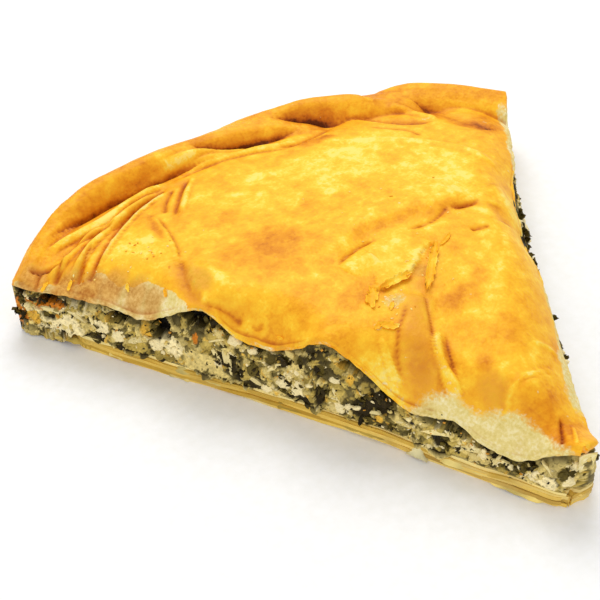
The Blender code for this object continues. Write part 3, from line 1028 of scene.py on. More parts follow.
@dataclass
class TopCrust:
    """The lid with its twisted rim, folds, torn sheets and loose flakes."""

    form: PieForm
    rows: int = 285
    columns: int = 280
    skirt_rows: int = 8
    cap_rings: int = 9
    rim_centre: float = 0.945
    rim_half_width: float = 0.064
    rim_bulge: float = 0.0014
    rim_softening: float = 0.0005
    least_thickness: float = 0.0010
    ceiling: float = 0.0305
    ceiling_give: float = 0.0006
    rim_top: Curve = (
        (-1, 0.0182), (-0.8, 0.0208), (-0.3, 0.0244), (0.05, 0.0248), (0.3, 0.0238), (0.9, 0.0232),
        (1, 0.0216),
    )
    drawn_in: Curve = ((-1, 0.052), (-0.85, 0.016), (-0.65, 0.003), (0.45, 0.003), (0.6, 0.009), (1, 0.011))
    inset_below: float = 0.4
    bare_right: float = 0.0016
    strands: tuple[Strand, ...] = (
        Strand((-535, 785, 18.6, -460, 862, 21.6, -360, 906, 24.8, -250, 930, 26.2, -130, 945, 26.2, -30, 938,
            25.6, 50, 920, 25.0, 110, 902, 23.8, 170, 884, 21.5), 5.4, 7.0, 15.0),
        Strand((-60, 985, 21.0, 0, 978, 23.6, 50, 970, 25.0, 130, 950, 26.6, 210, 920, 26.6, 280, 885, 24.4,
            340, 850, 22.8, 400, 815, 20.6), 7.0, 5.4, 15.0),
        Strand((260, 955, 16.5, 320, 925, 22.4, 370, 892, 25.0, 430, 845, 25.0, 480, 800, 24.6, 530, 755,
            23.6), 9.5, 6.0, 15.0),
    )
    strokes: tuple[Stroke, ...] = STROKES
    blotches: tuple[Blotch, ...] = BLOTCHES
    # Where the golden sheet ends along the left cut, from rim to tip; outside this line the lid is pale.
    golden_edge: Plan = (
        -560, 820, -505, 768, -480, 751, -457, 725, -441, 714, -425, 717, -405, 672, -393, 665, -388, 652,
        -376, 642, -355, 613, -349, 589, -345, 545, -352, 525, -340, 490, -304, 440, -268, 390, -231, 336,
        -180, 272, -160, 245, -108, 200, -89, 175, -74, 147, -32, 101, -20, 76, -18, 31, -13, 14, -20, 0, -60,
        -20,
    )
    pale_on_right: float = 0.011

    def height(self, x: Array, y: Array, share: Array, across: Array) -> Array:
        """The lid's top: the dome, rolled rim and strands joined by a soft maximum, with the strokes on them.

        Fine wrinkles run with the rim's twist, as noise stretched along it, and low puckers cover the rest.
        The top keeps the least thickness above the underside and flattens out under the ceiling.

        Args:
            x, y: metres from the pie's centre.
            share: of the way to the rim.
            across: between the cuts.

        Returns:
            Heights in metres.
        """
        form = self.form
        dome = form.dome(share, across)
        round_off = np.clip(1 - ((share - self.rim_centre) / self.rim_half_width) ** 2, 0, 1)
        roll = (smooth_curve(across, self.rim_top) - form.rim_seat) * np.sqrt(round_off)
        top = self.soft_maximum(dome, np.where(round_off > 0, form.rim_seat + roll, 0))
        for strand in self.strands:
            top = self.soft_maximum(top, strand.height(x, y, form.radius))
        rolls = np.zeros(len(x))
        rest = np.zeros(len(x))
        for stroke in self.strokes:
            shape = stroke.profile(x, y, form.radius) * stroke.height * MM
            if stroke.relief is ROLL:
                rolls = np.maximum(rolls, shape)
            elif stroke.relief is PINCH:
                rest -= shape
            else:
                rest += shape
        twist = np.arctan2(x, y) * form.radius
        lay = triples((share * form.radius + 0.30 * twist) / 0.0024, twist / 0.022)
        wrinkles = (lattice_noise(lay, 5) + 0.5 * lattice_noise(lay * 2.1, 6)) * 0.24 * MM
        wrinkles *= ease((share - 0.85) / 0.05)
        puckers = noise(triples(x, y), 0.016, 3, 4) * 0.42 * MM
        least = form.under_lid(share, across) + form.gap + self.least_thickness
        made = np.maximum(top + rolls + rest + wrinkles + puckers, least)
        over = np.maximum(made - self.ceiling, 0)
        return made - over + self.ceiling_give * (1 - np.exp(-over / self.ceiling_give))

    def soft_maximum(self, first: Array, second: Array) -> Array:
        """Half of the sum and the root of the squared difference, which rounds the crease between two."""
        return (first + second + np.sqrt((first - second) ** 2 + self.rim_softening**2)) / 2

    def baking(self, points: Array, share: Array, across: Array) -> Array:
        """Toast, pale, crease and blush at points of the lid.

        Args:
            points: (n, 3) from the pie's centre, in metres.
            share: of the way to the rim.
            across: between the cuts.

        Returns:
            (n, 4) values.
        """
        x, y = points[:, 0], points[:, 1]
        form, radius = self.form, self.form.radius
        toast = 0.175 + 0.12 * noise(points, 0.030, 11)
        pale = np.zeros(len(x))
        crease = np.zeros(len(x))
        blush = np.zeros(len(x))
        # Strokes paint shade into furrows and slopes through crease and toast, and highlights onto rolls through
        # lower toast.
        for stroke in self.strokes:
            shape = stroke.profile(x, y, radius)
            toast += stroke.toast * shape
            pale += stroke.pale * shape
            crease = np.maximum(crease, stroke.crease * shape)
            blush = np.maximum(blush, stroke.blush * shape)
        ragged = noise(points, 0.006, 23)
        for blotch in self.blotches:
            at_x, at_y = 1000 * x / radius - blotch.x, 1000 * y / radius - blotch.y
            far = np.hypot(at_x / blotch.wide, at_y / blotch.deep)
            soft = ease(1.4 - far + 0.5 * ragged)
            toast += blotch.toast * soft
            blush = np.maximum(blush, blotch.blush * soft)
            pale = np.maximum(pale, blotch.pale * soft)
        toast += 0.17 * ease((share - 0.86) / 0.05)
        edge = noise(points, 0.004, 31) * 0.9 * MM
        from_left = x * math.cos(form.half) + y * math.sin(form.half)
        from_right = y * math.sin(form.half) - x * math.cos(form.half)
        near = from_left < 0.075 * radius
        gap = signed_gap(x[near], y[near], smooth_line(self.golden_edge, 6, radius))[0]
        soft = (0.8 + 4.5 * ease(4.0 - 10 * y[near] / radius)) * MM
        pale[near] = np.maximum(pale[near], ease((edge[near] - gap) / soft + 0.5))
        strip = self.pale_on_right * radius * (0.45 + 1.2 * ease((share - 0.66) / 0.06))
        right = ease((strip - from_right + 1.6 * edge) / (1.6 * MM) + 0.5)
        right = right * ease((0.92 - share) / 0.04) * ease((share - 0.07) / 0.04)
        pale = np.maximum(pale, 0.62 * right * (across > 0))
        return np.stack([toast, pale, crease, blush], 1)

    def creases(self, z: Array, bake_and_shade: Array) -> Array:
        """Paint shade into furrows and highlights onto crests: each place is compared with the mean height
        around it.

        Args:
            z: heights of the top's grid.
            bake_and_shade: (n, 4) values there.

        Returns:
            The changed values.
        """
        grid = z.reshape(self.rows, self.columns)
        sunk = ((blur_grid(grid, 3) - grid) / MM).ravel()
        made = bake_and_shade.copy()
        # Painted shade: more toast and crease in furrows; painted highlight: less toast on crests.
        made[:, 0] += 0.22 * ease(sunk / 0.35) - 0.14 * ease(-sunk / 0.30)
        made[:, 2] = np.maximum(made[:, 2], 0.55 * ease((sunk - 0.06) / 0.50))
        return made

    def surface(self, x: Array, y: Array) -> Array:
        """Height of the finished top at places in plan."""
        share, across = self.form.locate(x, y)
        return self.height(x, y, share, across)

    def build_lid(self, material: Material) -> Piece:
        """The lid as one closed surface: a grid of share by across, a layered skirt and an inner cap.

        The skirt's rows run from the grid's border down to the underside and bulge outwards by a sine. The
        cap's rings follow the underside.

        Args:
            material: baked filo.

        Returns:
            The object.
        """
        form = self.form
        line = np.linspace(0.004, 1, self.rows)
        share = line + 0.25 * np.sin(np.pi * line) / np.pi
        across = np.linspace(-1, 1, self.columns)
        across = across + 0.10 * np.sin(np.pi * across) / np.pi
        share, across = np.meshgrid(np.clip(share, 0, 1), across, indexing="ij")
        share, across = share.ravel(), across.ravel()
        outer = ease((share - 0.90) / 0.10)
        bare = self.bare_right * ease((share - 0.40) / 0.07) * ease((0.71 - share) / 0.08)
        x, y = form.in_plan(share, across, 0.0, -bare)
        spread = 1 - outer * smooth_curve(across, self.drawn_in)
        x, y = x * spread, y * spread
        z = self.height(x, y, share, across)
        top = triples(x, y, z)
        at = np.arange(self.rows * self.columns).reshape(self.rows, self.columns)
        loop = np.concatenate([at[:-1, 0], at[-1, :-1], at[:0:-1, -1], at[0, :0:-1]])
        rings, plan = [top], (share[loop], across[loop])
        low = form.under_lid(*plan) + form.gap
        base_x, base_y = form.in_plan(*plan, 0.0, -bare[loop])
        inset = smooth_curve(plan[1], self.drawn_in)
        at_rim = outer[loop]
        border = triples(x[loop], y[loop])
        torn = (0.85 * noise(border, 0.0045, 43) + 0.60 * noise(border, 0.0014, 44)) * MM
        low = low + torn * (np.abs(plan[1]) > 0.999) * (1 - at_rim) * ease(plan[0] / 0.05)
        normal = border[:, :2] / np.maximum(np.hypot(x[loop], y[loop]), 1e-6)[:, None]
        cut = np.where(plan[1] < 0, -1.0, 1.0)
        cut_normal = np.stack([cut * math.cos(form.half), np.full(len(cut), -math.sin(form.half))], 1)
        normal = np.where((np.abs(plan[1]) > 0.999)[:, None], cut_normal, normal)
        for k in range(1, self.skirt_rows + 1):
            level = 1 - k / self.skirt_rows
            shrink = 1 - at_rim * inset * (self.inset_below + (1 - self.inset_below) * level)
            bulge = self.rim_bulge * at_rim + 0.0005 * (1 - at_rim)
            rough = noise(triples(x[loop], y[loop], k * 0.004), 0.003, 41)
            push = bulge * math.sin(math.pi * level) + (0.0004 * rough + 0.0004 * (1 - level)) * (1 - at_rim)
            push += 0.35 * torn * (1 - level) * (1 - at_rim)
            ring_x = base_x * shrink + normal[:, 0] * push
            ring_y = base_y * shrink + normal[:, 1] * push
            rings.append(triples(ring_x, ring_y, low + (z[loop] - low) * level))
        centre = np.array([0.0, form.cap_centre * form.radius])
        rings += cap_rings(rings[-1], centre, self.cap_rings, lambda x, y: form.lid_over(x, y) + form.gap)
        points = np.concatenate(rings)
        faces = [grid_quads(self.rows, self.columns)[:, ::-1]]
        upper = loop
        for k in range(len(rings) - 2):
            lower = len(top) + k * len(loop) + np.arange(len(loop))
            faces.append(loop_quads(upper, lower))
            upper = lower
        hub = np.full(len(loop), len(points) - 1)
        fan = np.stack([upper, np.roll(upper, -1), hub], -1)
        share_all, across_all = form.locate(points[:, 0], points[:, 1])
        bake_and_shade = self.baking(points, share_all, across_all)
        bake_and_shade[: len(z)] = self.creases(z, bake_and_shade[: len(z)])
        lip = slice(len(z) + 2 * len(loop), len(z) + self.skirt_rows * len(loop))
        bare_cut = np.maximum(1 - at_rim, plan[1] > 0.999)
        worn = np.tile(bare_cut, self.skirt_rows - 2) * (0.36 + 0.32 * noise(points[lip], 0.005, 47))
        bake_and_shade[lip, 1] = np.maximum(bake_and_shade[lip, 1], worn)
        placed = form.place(*points.T)
        faces = turned_out(placed, [np.concatenate(faces), fan])
        return make_piece("lid", placed, faces, material, {"bake_and_shade": np.clip(bake_and_shade, 0, 1)})


@dataclass(frozen=True)
class Spot:
    """A thing that shows on a cut face: place along it, height and half-sizes in thousandths of the radius."""

    tone: Tone
    along: float
    up: float
    long: float
    tall: float
    lean: float = 0.0

    def distance(self, along: float | Array, up: float | Array) -> float | Array:
        """How far places on the face are from the middle, with 1 on the spot's edge.

        Args:
            along: distance from the tip along the cut, as shares of the radius.
            up: height, as shares of the radius.

        Returns:
            The distances, measured along the leaning ellipse.
        """
        turn = math.radians(self.lean)
        ahead, above = 1000 * along - self.along, 1000 * up - self.up
        long = (ahead * math.cos(turn) + above * math.sin(turn)) / self.long
        tall = (above * math.cos(turn) - ahead * math.sin(turn)) / self.tall
        return np.hypot(long, tall)


# The hollow spots are sunk under the lid and painted near black for their shadow.
SPOTS = tuple(Spot(*row) for row in (
    (SHADOWED_HOLLOW, 207.5, 86.5, 37.5, 10.5), (SHADOWED_HOLLOW, 357.5, 140, 27.5, 9), (SHADOWED_HOLLOW, 517.5, 114, 12.5, 6),
    (SHADOWED_HOLLOW, 572.5, 134, 24, 13, 20), (SHADOWED_HOLLOW, 627.5, 142, 25, 18), (SHADOWED_HOLLOW, 697.5, 96.5, 17.5, 20.5),
    (SHADOWED_HOLLOW, 775, 97.5, 25, 11.5), (SHADOWED_HOLLOW, 900, 92.5, 30, 7.5, -8), (LEAF, 22, 72.5, 6, 12.5),
    (DARK, 4, 56, 5, 16), (FETA, 14, 48, 5, 6), (CREAM, 6, 80, 7, 6), (YELLOW, 970, 30, 18, 14),
    (DARK, 990, 60, 8, 18), (DARK, 1004, 35, 6, 12), (YELLOW, 1006, 60, 8, 12), (LEAF, 72.5, 67.5, 12.5, 7.5),
    (DARK, 210, 52.5, 20, 12.5), (DARK, 310, 80, 20, 16, 30), (DARK, 340, 70, 16, 28, 25),
    (DARK, 332, 40, 10, 12), (DARK, 417.5, 112.5, 7.5, 12.5), (LEAF, 447.5, 115, 7.5, 5),
    (LEAF, 490, 102.5, 30, 15, -25), (DARK, 445, 37, 38, 10), (DARK, 412, 60, 8, 20), (DARK, 480, 60, 8, 18),
    (GREY, 530, 72.5, 12, 14.5), (DARK, 555, 55, 6, 10), (DARK, 570, 82.5, 6, 17.5),
    (DARK, 777.5, 40, 7.5, 20, 12), (DARK, 820, 35, 20, 15), (LEAF, 827.5, 72.5, 7.5, 12.5),
    (DARK, 910, 62.5, 10, 7.5), (DARK, 967.5, 87.5, 12.5, 22.5), (DARK, 975, 15, 15, 15),
    (FETA, 10, 52.5, 10, 7.5), (FETA, 50, 50, 21, 14), (CREAM, 160, 47.5, 30, 8),
    (FETA, 362.5, 52.5, 4, 12.5), (CREAM, 387.5, 40, 12.5, 20), (FETA, 450, 57, 12, 12),
    (FETA, 472, 60, 7, 7), (CREAM, 455, 96, 16, 10), (CREAM, 495, 37.5, 22, 7),
    (FETA, 680, 72.5, 16, 28, -35), (FETA, 705, 60, 15, 12), (YELLOW, 724, 87, 8, 16),
    (CREAM, 785, 62.5, 10, 17.5), (FETA, 815, 65, 15, 15), (FETA, 880, 45, 35, 22, -15),
    (CREAM, 570, 112.5, 10, 7.5), (YELLOW, 945, 45, 22, 15), (CREAM, 220, 22, 30, 12),
    (CREAM, 620, 50, 40, 22, 10), (OLIVE, 745, 45, 20, 28), (ORANGE, 633, 97.5, 4, 12.5),
    (ORANGE, 630, 140, 8, 8), (YELLOW, 312.5, 50, 7.5, 10), (YELLOW, 365, 112.5, 6, 12.5),
    (ORANGE, 915, 85, 45, 10, -10), (ORANGE, 972, 45, 18, 25),
))


@dataclass
class Filling:
    """The mass of chopped greens and cheese, and the pieces that stand out of its two cut faces."""

    form: PieForm
    columns: int = 500
    rim_columns: int = 90
    front_columns: int = 24
    front: float = 0.022
    tip_reach: float = 0.0006
    levels: int = 58
    cap_rings: int = 14
    fillet: float = 0.0036
    inner_share: float = 0.02
    lump_size: float = 0.0200
    grain_size: float = 0.0075
    mash_share: float = 0.62
    melted_light: str = "#efd67c"
    melted_dark: str = "#302508"
    melted_blend: float = 0.26
    # How strongly the painted shade right under the lid darkens the cut face.
    recess_shade: float = 0.88
    seed: int = 5
    spots: tuple[Spot, ...] = SPOTS
    # How often each tone turns up among the lumps and among the finer grains.
    mix: ClassVar[Mixture] = (
        (FETA, 0.10), (CREAM, 0.30), (YELLOW, 0.05), (OLIVE, 0.29), (GREY, 0.08), (DARK, 0.18),
    )
    grains: ClassVar[Mixture] = (
        (FETA, 0.10), (CREAM, 0.24), (YELLOW, 0.04), (OLIVE, 0.26), (LEAF, 0.14), (DARK, 0.22),
    )
    # How far each tone stands out, in millimetres.
    rise: ClassVar[dict[Tone, float]] = {
        CREAM: 0.20, OLIVE: 0.0, GREY: -0.1, DARK: -0.35, LEAF: -0.1, FETA: 0.40,
        YELLOW: 0.15, ORANGE: 0.0, SHADOWED_HOLLOW: -3.2,
    }

    def floor(self, share: Array) -> Array:
        """Height of the filling's underside: flat on the base, rounded up to the wall at the rim."""
        form = self.form
        outer = form.outer_share * form.radius
        turn = np.clip((share * form.radius - outer) / self.fillet + 1, 0, 1)
        return form.base_thickness + form.gap + self.fillet * (1 - np.sqrt(1 - turn**2))

    def toned(self, owner: Array, shares: Mixture, seed: int, sway: Array) -> tuple[Array, Array]:
        """Pick each lump's tone from a list by the shares there: its hashed value, moved by a slow sway.

        Args:
            owner: (n, 2) lumps.
            shares: the tones and how often each turns up.
            seed: chooses the hashed values.
            sway: what moves them.

        Returns:
            (n, 4) linear colours, and how far the tone stands out, in millimetres.
        """
        edges = np.cumsum([share for _, share in shares])
        pick = np.clip(hashed(owner, seed) + sway, 0, 0.9999) * edges[-1]
        number = np.minimum(np.searchsorted(edges, pick, side="right"), len(shares) - 1)
        colours = np.array([light_of(tone.value) for tone, _ in shares])
        return colours[number], np.array([self.rise[tone] for tone, _ in shares])[number]

    def crumble(self, along: Array, up: Array, side: Side) -> tuple[Array, Array]:
        """Relief and colour of a cut face.

        The face is split into lumps by hashed seeds after a noise has warped it, and each lump has a rounded
        top. Most lumps are mash, whose finer grains have tones of their own. Clouds of melted colour are
        blended over them, and painted shade darkens the crevices between lumps and grains. Each spot then
        overrides the lumps inside its own warped ellipse, and its grains show there faintly; hollows are sunk
        and painted near black for their shadow. Last, the face sinks in places right under the lid, and
        painted shade darkens it there.

        Args:
            along: distance from the tip along the cut, as shares of the radius.
            up: height, as shares of the radius.
            side: which cut face.

        Returns:
            How far each place stands out, in metres, and (n, 4) linear colours.
        """
        seed = self.seed + 100 * side.value
        places = triples(along, up, float(side.value))
        warp = np.stack([noise(places, 0.03, 51), noise(places, 0.03, 52)], 1) * 0.011
        fine = np.stack([noise(places, 0.007, 53), noise(places, 0.007, 54)], 1) * 0.0042
        at = places[:, :2] + warp + fine
        greener = ease((along - 0.22) / 0.08) * ease((0.76 - along) / 0.08)
        sway = 0.52 * noise(places, 0.060, 57) + 0.20 * greener - 0.04
        owner, border = cell_lumps(at, self.lump_size, seed)
        grain, seam = cell_lumps(at + 0.3 * fine, self.grain_size, seed + 40)
        lump_colour, lump_rise = self.toned(owner, self.mix, seed + 7, sway)
        grain_colour, grain_rise = self.toned(grain, self.grains, seed + 8, sway)
        mash = hashed(owner, seed + 9) < self.mash_share
        lump_colour = lump_colour * (0.84 + 0.32 * hashed(owner, seed + 10))[:, None]
        grain_colour = grain_colour * (0.86 + 0.28 * hashed(grain, seed + 11))[:, None]
        colour = np.where(mash[:, None], grain_colour, lump_colour)
        cloud = ease(0.36 + noise(places, 0.034, 58, 4) + 0.9 * sway)
        melted = blend(light_of(self.melted_light), light_of(self.melted_dark), cloud)
        colour = blend(colour, melted, self.melted_blend)
        # Painted shade in the crevices between lumps and between grains, where the relief sinks.
        edges = (0.80 + 0.20 * ease(border / 0.0035)) * (0.86 + 0.14 * ease(seam / 0.0018))
        colour = colour * edges[:, None]
        rise = np.where(mash, 0.55 * grain_rise, lump_rise)
        rise = rise + 0.42 * ease(border / 0.006) + 0.20 * ease(seam / 0.003)
        rise = rise + 0.5 * (hashed(owner, seed + 12) - 0.5) + 0.3 * (hashed(grain, seed + 13) - 0.5)
        if side is LEFT:
            wobble = noise(places, 0.012, 61) * 0.385
            light_grain = (0.86 + 0.2 * hashed(grain, seed + 14))[:, None]
            flecked = hashed(grain, seed + 15) < 0.07
            kept = np.ones(len(at))
            for spot in self.spots:
                inside = ease((1.08 - spot.distance(*at.T) + wobble) / 0.2) * kept
                if spot.tone is SHADOWED_HOLLOW:
                    inside = ease(inside * 1.5)
                    kept = kept * (1 - inside)
                else:
                    inside = inside * ~flecked
                rise = rise + (self.rise[spot.tone] + 0.16 * ease(seam / 0.003) - rise) * inside
                colour = blend(colour, light_of(spot.tone.value) * light_grain, inside)
        # Painted shade right under the lid: close below it the face's colour is darkened and the face sinks, in
        # noisy patches.
        below = self.form.under_lid(along, float(side.value)) / self.form.radius - up
        reach = 0.024 + 0.012 * noise(places, 0.04, 59)
        recess_shade = ease(1 - below / reach) * ease(0.6 + 1.4 * noise(places, 0.07, 63))
        colour = colour * (1 - self.recess_shade * recess_shade)[:, None]
        rise = rise + 0.22 * noise(places, 0.006, 71) - 1.1 * recess_shade
        colour[:, 3] = 1
        return rise * MM, colour

    def stand_out(self, along: float, up: float, out: float, side: Side) -> Array:
        """A point on a cut face, or on the front of the tip or the side of the rim beyond its ends.

        Args:
            along: distance from the tip along the cut, as shares of the radius.
            up: height, as shares of the radius.
            out: how far it stands out, in metres.
            side: which cut face.

        Returns:
            The point.
        """
        form = self.form
        flare = form.left_flare if side is LEFT else form.right_flare
        level = np.clip((up * form.radius - form.base_thickness) / (0.09 * form.radius), 0, 1)
        push = out + flare * (1 - level)
        share = min(max(along, self.inner_share), form.outer_share)
        past = max(self.inner_share - along, 0) * 2 / self.front + max(along - form.outer_share, 0) / form.half
        across = min(past, 1.9) - 1 if side is LEFT else 1.0
        x, y = form.in_plan(np.array([share]), np.array([across]), push, push)
        y = y - self.tip_reach * (1 - ease((share - self.inner_share) / 0.04))
        y = y - (out if share == self.inner_share else 0)
        return form.place(x, y, np.array([up * form.radius]))[0]

    def build_core(self, material: Material) -> Piece:
        """The whole mass as stacked closed loops round its border, capped above and below by shrinking rings.

        Args:
            material: chopped mix.

        Returns:
            The object.
        """
        form = self.form
        outer = form.outer_share
        run = np.linspace(self.inner_share, outer, self.columns)
        arc = 2 * np.linspace(0, 1, self.rim_columns + 2)[1:-1] ** 2 - 1
        tip = np.linspace(1, -1, self.front_columns + 2)[1:-1]
        share = np.concatenate([run, np.full(len(arc), outer), run[::-1], np.full(len(tip), run[0])])
        across = np.concatenate([np.full(len(run), -1.0), arc, np.full(len(run), 1.0), tip])
        number = np.arange(len(share))
        at_rim = (number >= len(run)) & (number < len(run) + len(arc))
        at_tip = number >= len(share) - len(tip)
        around = share + at_rim * (across + 1) * form.half - at_tip * (across + 1) * self.front / 2
        low, high = self.floor(share), form.under_lid(share, across)
        fallen = ease((share - 0.86) / 0.04) * ease((-0.93 - across) / 0.03)
        low = low + (0.0003 - low) * fallen
        left, right = across < -0.999, across > 0.999
        sag = np.clip(noise(triples(share, 0.0, across), 0.035, 58) + 0.12, 0, 1) * (left | right)
        sag = sag * ease((share - 0.05) / 0.06) * ease((0.90 - share) / 0.04)
        low = low - 0.0034 * sag
        loops, tints = [], []
        for k in range(self.levels + 1):
            level = k / self.levels
            z = low + (high - low) * level
            out = np.zeros(len(share))
            colour = np.tile(light_of(OLIVE.value), (len(share), 1))
            cuts = ((LEFT, left, form.left_flare), (RIGHT, right, form.right_flare))
            for side, where, flare in cuts:
                rise, tint = self.crumble(share[where], z[where] / form.radius, side)
                out[where] = rise + flare * (1 - level) + 0.0022 * (sag * (1 - level) ** 3)[where]
                colour[where] = tint
            calm = ease(share / 0.05) * ease((outer - share) / 0.01)
            out = np.where(left | right, out * calm, 0)
            x, y = form.in_plan(share, across, out, out)
            y = y - self.tip_reach * (1 - ease((share - run[0]) / 0.04))
            turned = at_rim | at_tip
            rise, colour[turned] = self.crumble(around[turned], z[turned] / form.radius, LEFT)
            y[at_tip] -= 0.8 * rise[at_tip[turned]]
            loops.append(triples(x, y, z))
            tints.append(colour)
        centre = np.array([0.0, form.cap_centre * form.radius])
        lower = cap_rings(loops[0], centre, self.cap_rings, lambda x, y: self.floor(form.locate(x, y)[0]))
        upper = cap_rings(loops[-1], centre, self.cap_rings, form.lid_over)
        stack = lower[-2::-1] + loops + upper[:-1]
        # Painted shade: the caps take the dark tone, which shows as a dark gap under the lid's lip; near the tip
        # they keep the filling's olive.
        plain = np.array([light_of(tone) for tone in np.where(share < 0.09, OLIVE.value, DARK.value)])
        caps = [plain] * (self.cap_rings - 1)
        points = form.place(*np.concatenate([*stack, lower[-1], upper[-1]]).T)
        count = len(share)
        rows = [k * count + np.arange(count) for k in range(len(stack))]
        quads = np.concatenate([loop_quads(rows[k + 1], rows[k]) for k in range(len(rows) - 1)])
        below = np.stack([rows[0], np.roll(rows[0], -1), np.full(count, len(points) - 2)], -1)
        above = np.stack([np.roll(rows[-1], -1), rows[-1], np.full(count, len(points) - 1)], -1)
        tone = np.concatenate([*caps, *tints, *caps, plain[:2]])
        faces = turned_out(points, [quads, below, above])
        return make_piece("filling_core", points, faces, material, {"tone": tone})


@dataclass
class CutScatter:
    """Loose-looking pieces of the filling that stand out of the two cut faces, each kind in one object.

    Leaves and crumbs on the flank are those that show past the lid on the right.
    """

    form: PieForm
    filling: Filling
    seed: int = 41
    crumbs: int = 130
    leaves: int = 210
    strips: int = 34
    flecks: int = 460
    flank_leaves: int = 26
    flank_crumbs: int = 18
    leaf_thickness: float = 0.00025
    leaf_crumple: float = 0.0008
    leaf_grid: tuple[int, int] = (6, 4)
    strip_grid: tuple[int, int] = (7, 3)
    leek: str = "#f0dc98"
    side_share: float = 0.62

    def room(self, side: Side, along: float) -> tuple[float, float]:
        """Heights of the filling's floor and of the lid over it on a cut, as shares of the radius."""
        at = np.array([along])
        heights = self.filling.floor(at), self.form.under_lid(at, float(side.value))
        return tuple(float(height[0]) / self.form.radius for height in heights)

    def spot_on_face(self, draw: Draws, margin: float) -> FacePlace:
        """A random place on a cut face.

        Args:
            draw: random numbers.
            margin: the least share of the radius between it and the base or the lid.

        Returns:
            The side, and how far along and up it lies, as shares of the radius.
        """
        side = LEFT if draw.random() < self.side_share else RIGHT
        along = float(draw.uniform(0.04, 0.965))
        low, high = self.room(side, along)
        low += margin
        return side, along, float(draw.uniform(low, max(high - margin, low + 0.002)))

    @staticmethod
    def near_spot(draw: Draws, spot: Spot, wide: float, high: float) -> FacePlace:
        """A random place on the left cut, within these shares of a spot's half-sizes."""
        along = (spot.along + draw.uniform(-wide, wide) * spot.long) / 1000
        return LEFT, along, (spot.up + draw.uniform(-high, high) * spot.tall) / 1000

    def settle(self, side: Side, along: float, up: float, reach: float) -> float:
        """Move a piece up or down so that it stays between the base and the lid.

        Args:
            side: its cut.
            along: its place there, as a share of the radius.
            up: its height, as a share of the radius.
            reach: its half-size in metres.

        Returns:
            The new height.
        """
        reach = reach / self.form.radius
        low, high = self.room(side, min(max(along, 0.02), 0.98))
        low, high = low + 0.2 * reach, high - 0.8 * reach
        return min(max(up, low), max(high, low))

    def hidden(self, side: Side, along: float, up: float) -> bool:
        """Whether a place lies in one of the hollows under the lid, painted near black for their shadow, or
        nearly.
        """
        hollows = (spot for spot in self.filling.spots if spot.tone is SHADOWED_HOLLOW)
        return side is LEFT and any(
            math.hypot((1000 * along - spot.along) / spot.long, (1000 * up - spot.up) / spot.tall) < 1.1
            for spot in hollows
        )

    def frame_of(self, side: Side, draw: Draws, tilt: float) -> Array:
        """Axes of a piece on a face, turned at random about the way out and tilted a bit.

        Args:
            side: which cut face.
            draw: random numbers.
            tilt: the most that it leans, as a slope.

        Returns:
            (3, 3) rows: along the piece, up it and out of it.
        """
        out, along = self.form.outward(side), self.form.along(side)
        turn = draw.uniform(0, 2 * math.pi)
        lean = draw.uniform(-tilt, tilt, 2)
        first = unit(along * math.cos(turn) + UP * math.sin(turn) + out * lean[0])
        second = unit(np.cross(out + along * lean[1], first))
        return np.stack([first, second, np.cross(first, second)])

    def build_crumbs(self, material: Material) -> Piece:
        """White cheese: balls of a few dozen faces, pushed in and out by noise and squashed at random.

        Args:
            material: crumbled cheese.

        Returns:
            The object.
        """
        draw = np.random.default_rng(self.seed)
        ball, faces = cube_ball(4)
        batch = Batch()
        named = [spot for spot in self.filling.spots if spot.tone in (FETA, CREAM)]
        for k in range(self.crumbs):
            if k < 2 * len(named):
                side, along, up = self.near_spot(draw, named[k % len(named)], 0.7, 0.6)
                size = draw.uniform(0.0010, 0.0021)
            else:
                side, along, up = self.spot_on_face(draw, 0.010)
                size = draw.choice([0.0005, 0.0008, 0.0013], p=[0.5, 0.38, 0.12]) * draw.uniform(0.8, 1.3)
            if self.hidden(side, along, up):
                continue
            start = draw.uniform(0, 5, 3)
            places = ball * 0.02 + start
            lumps = noise(places, 0.020, 7) + 0.5 * noise(places, 0.007, 8)
            squash = draw.uniform([0.8, 0.6, 0.45], [1.4, 1.0, 0.7])
            shape = ball * (1 + 0.50 * lumps)[:, None] * squash * size
            up = self.settle(side, along, up, size * 1.2)
            place = self.filling.stand_out(along, up, 0.0002 - 0.25 * size, side)
            tone = FETA if draw.random() < 0.7 else CREAM
            tint = light_of(tone.value) * draw.uniform(0.86, 1.02)
            batch.add(shape @ self.frame_of(side, draw, 0.4) + place, faces, tint)
        for k in range(self.flank_crumbs):
            along = (0.205, 0.215, 0.228, 0.24, 0.255, 0.30)[k] if k < 6 else draw.uniform(0.42, 0.66)
            rough = 1 + 0.6 * noise(ball * 0.02 + draw.uniform(0, 5, 3), 0.020, 7)
            shape = ball * rough[:, None] * draw.uniform(0.6, 1.3, 3) * 0.0009
            up = draw.uniform(0.095, 0.112)
            place = self.filling.stand_out(along, up, draw.uniform(0, 0.9) * MM, RIGHT)
            batch.add(shape + place, faces, tint)
        return batch.piece("cheese_crumbs", material, "tone", 180.0)

    @staticmethod
    def sheet(draw: Draws, size: tuple[float, float, float], crumple: float, grid: tuple[int, int]) -> Array:
        """A small crumpled slab about the origin: two grids, bent by noise and narrowed at both ends.

        Args:
            draw: random numbers.
            size: length, width and thickness in metres.
            crumple: how far the noise bends it, in metres.
            grid: rows along it and columns across it.

        Returns:
            The vertices, in the order of slab_faces.
        """
        long, wide, thick = size
        u, v = span_grid(*grid)
        ragged = 1 + 0.25 * lattice_noise(triples(u * 2.3, v * 1.7, 0.5) + draw.uniform(0, 50, 3), 3)
        narrow = np.sqrt(np.clip(1.08 - u**2, 0, 1))
        bend = lattice_noise(triples(u * 1.4, v * 1.1, 0.2) + draw.uniform(0, 50, 3), 9).reshape(u.shape)
        ragged = ragged.reshape(u.shape)
        curl = draw.uniform(-0.5, 0.8) * u**2
        upper = np.stack([u * long / 2 * ragged, v * narrow * wide / 2 * ragged, (bend + curl) * crumple], -1)
        lower = upper - np.array([0, 0, thick])
        return slab_points(upper, lower)

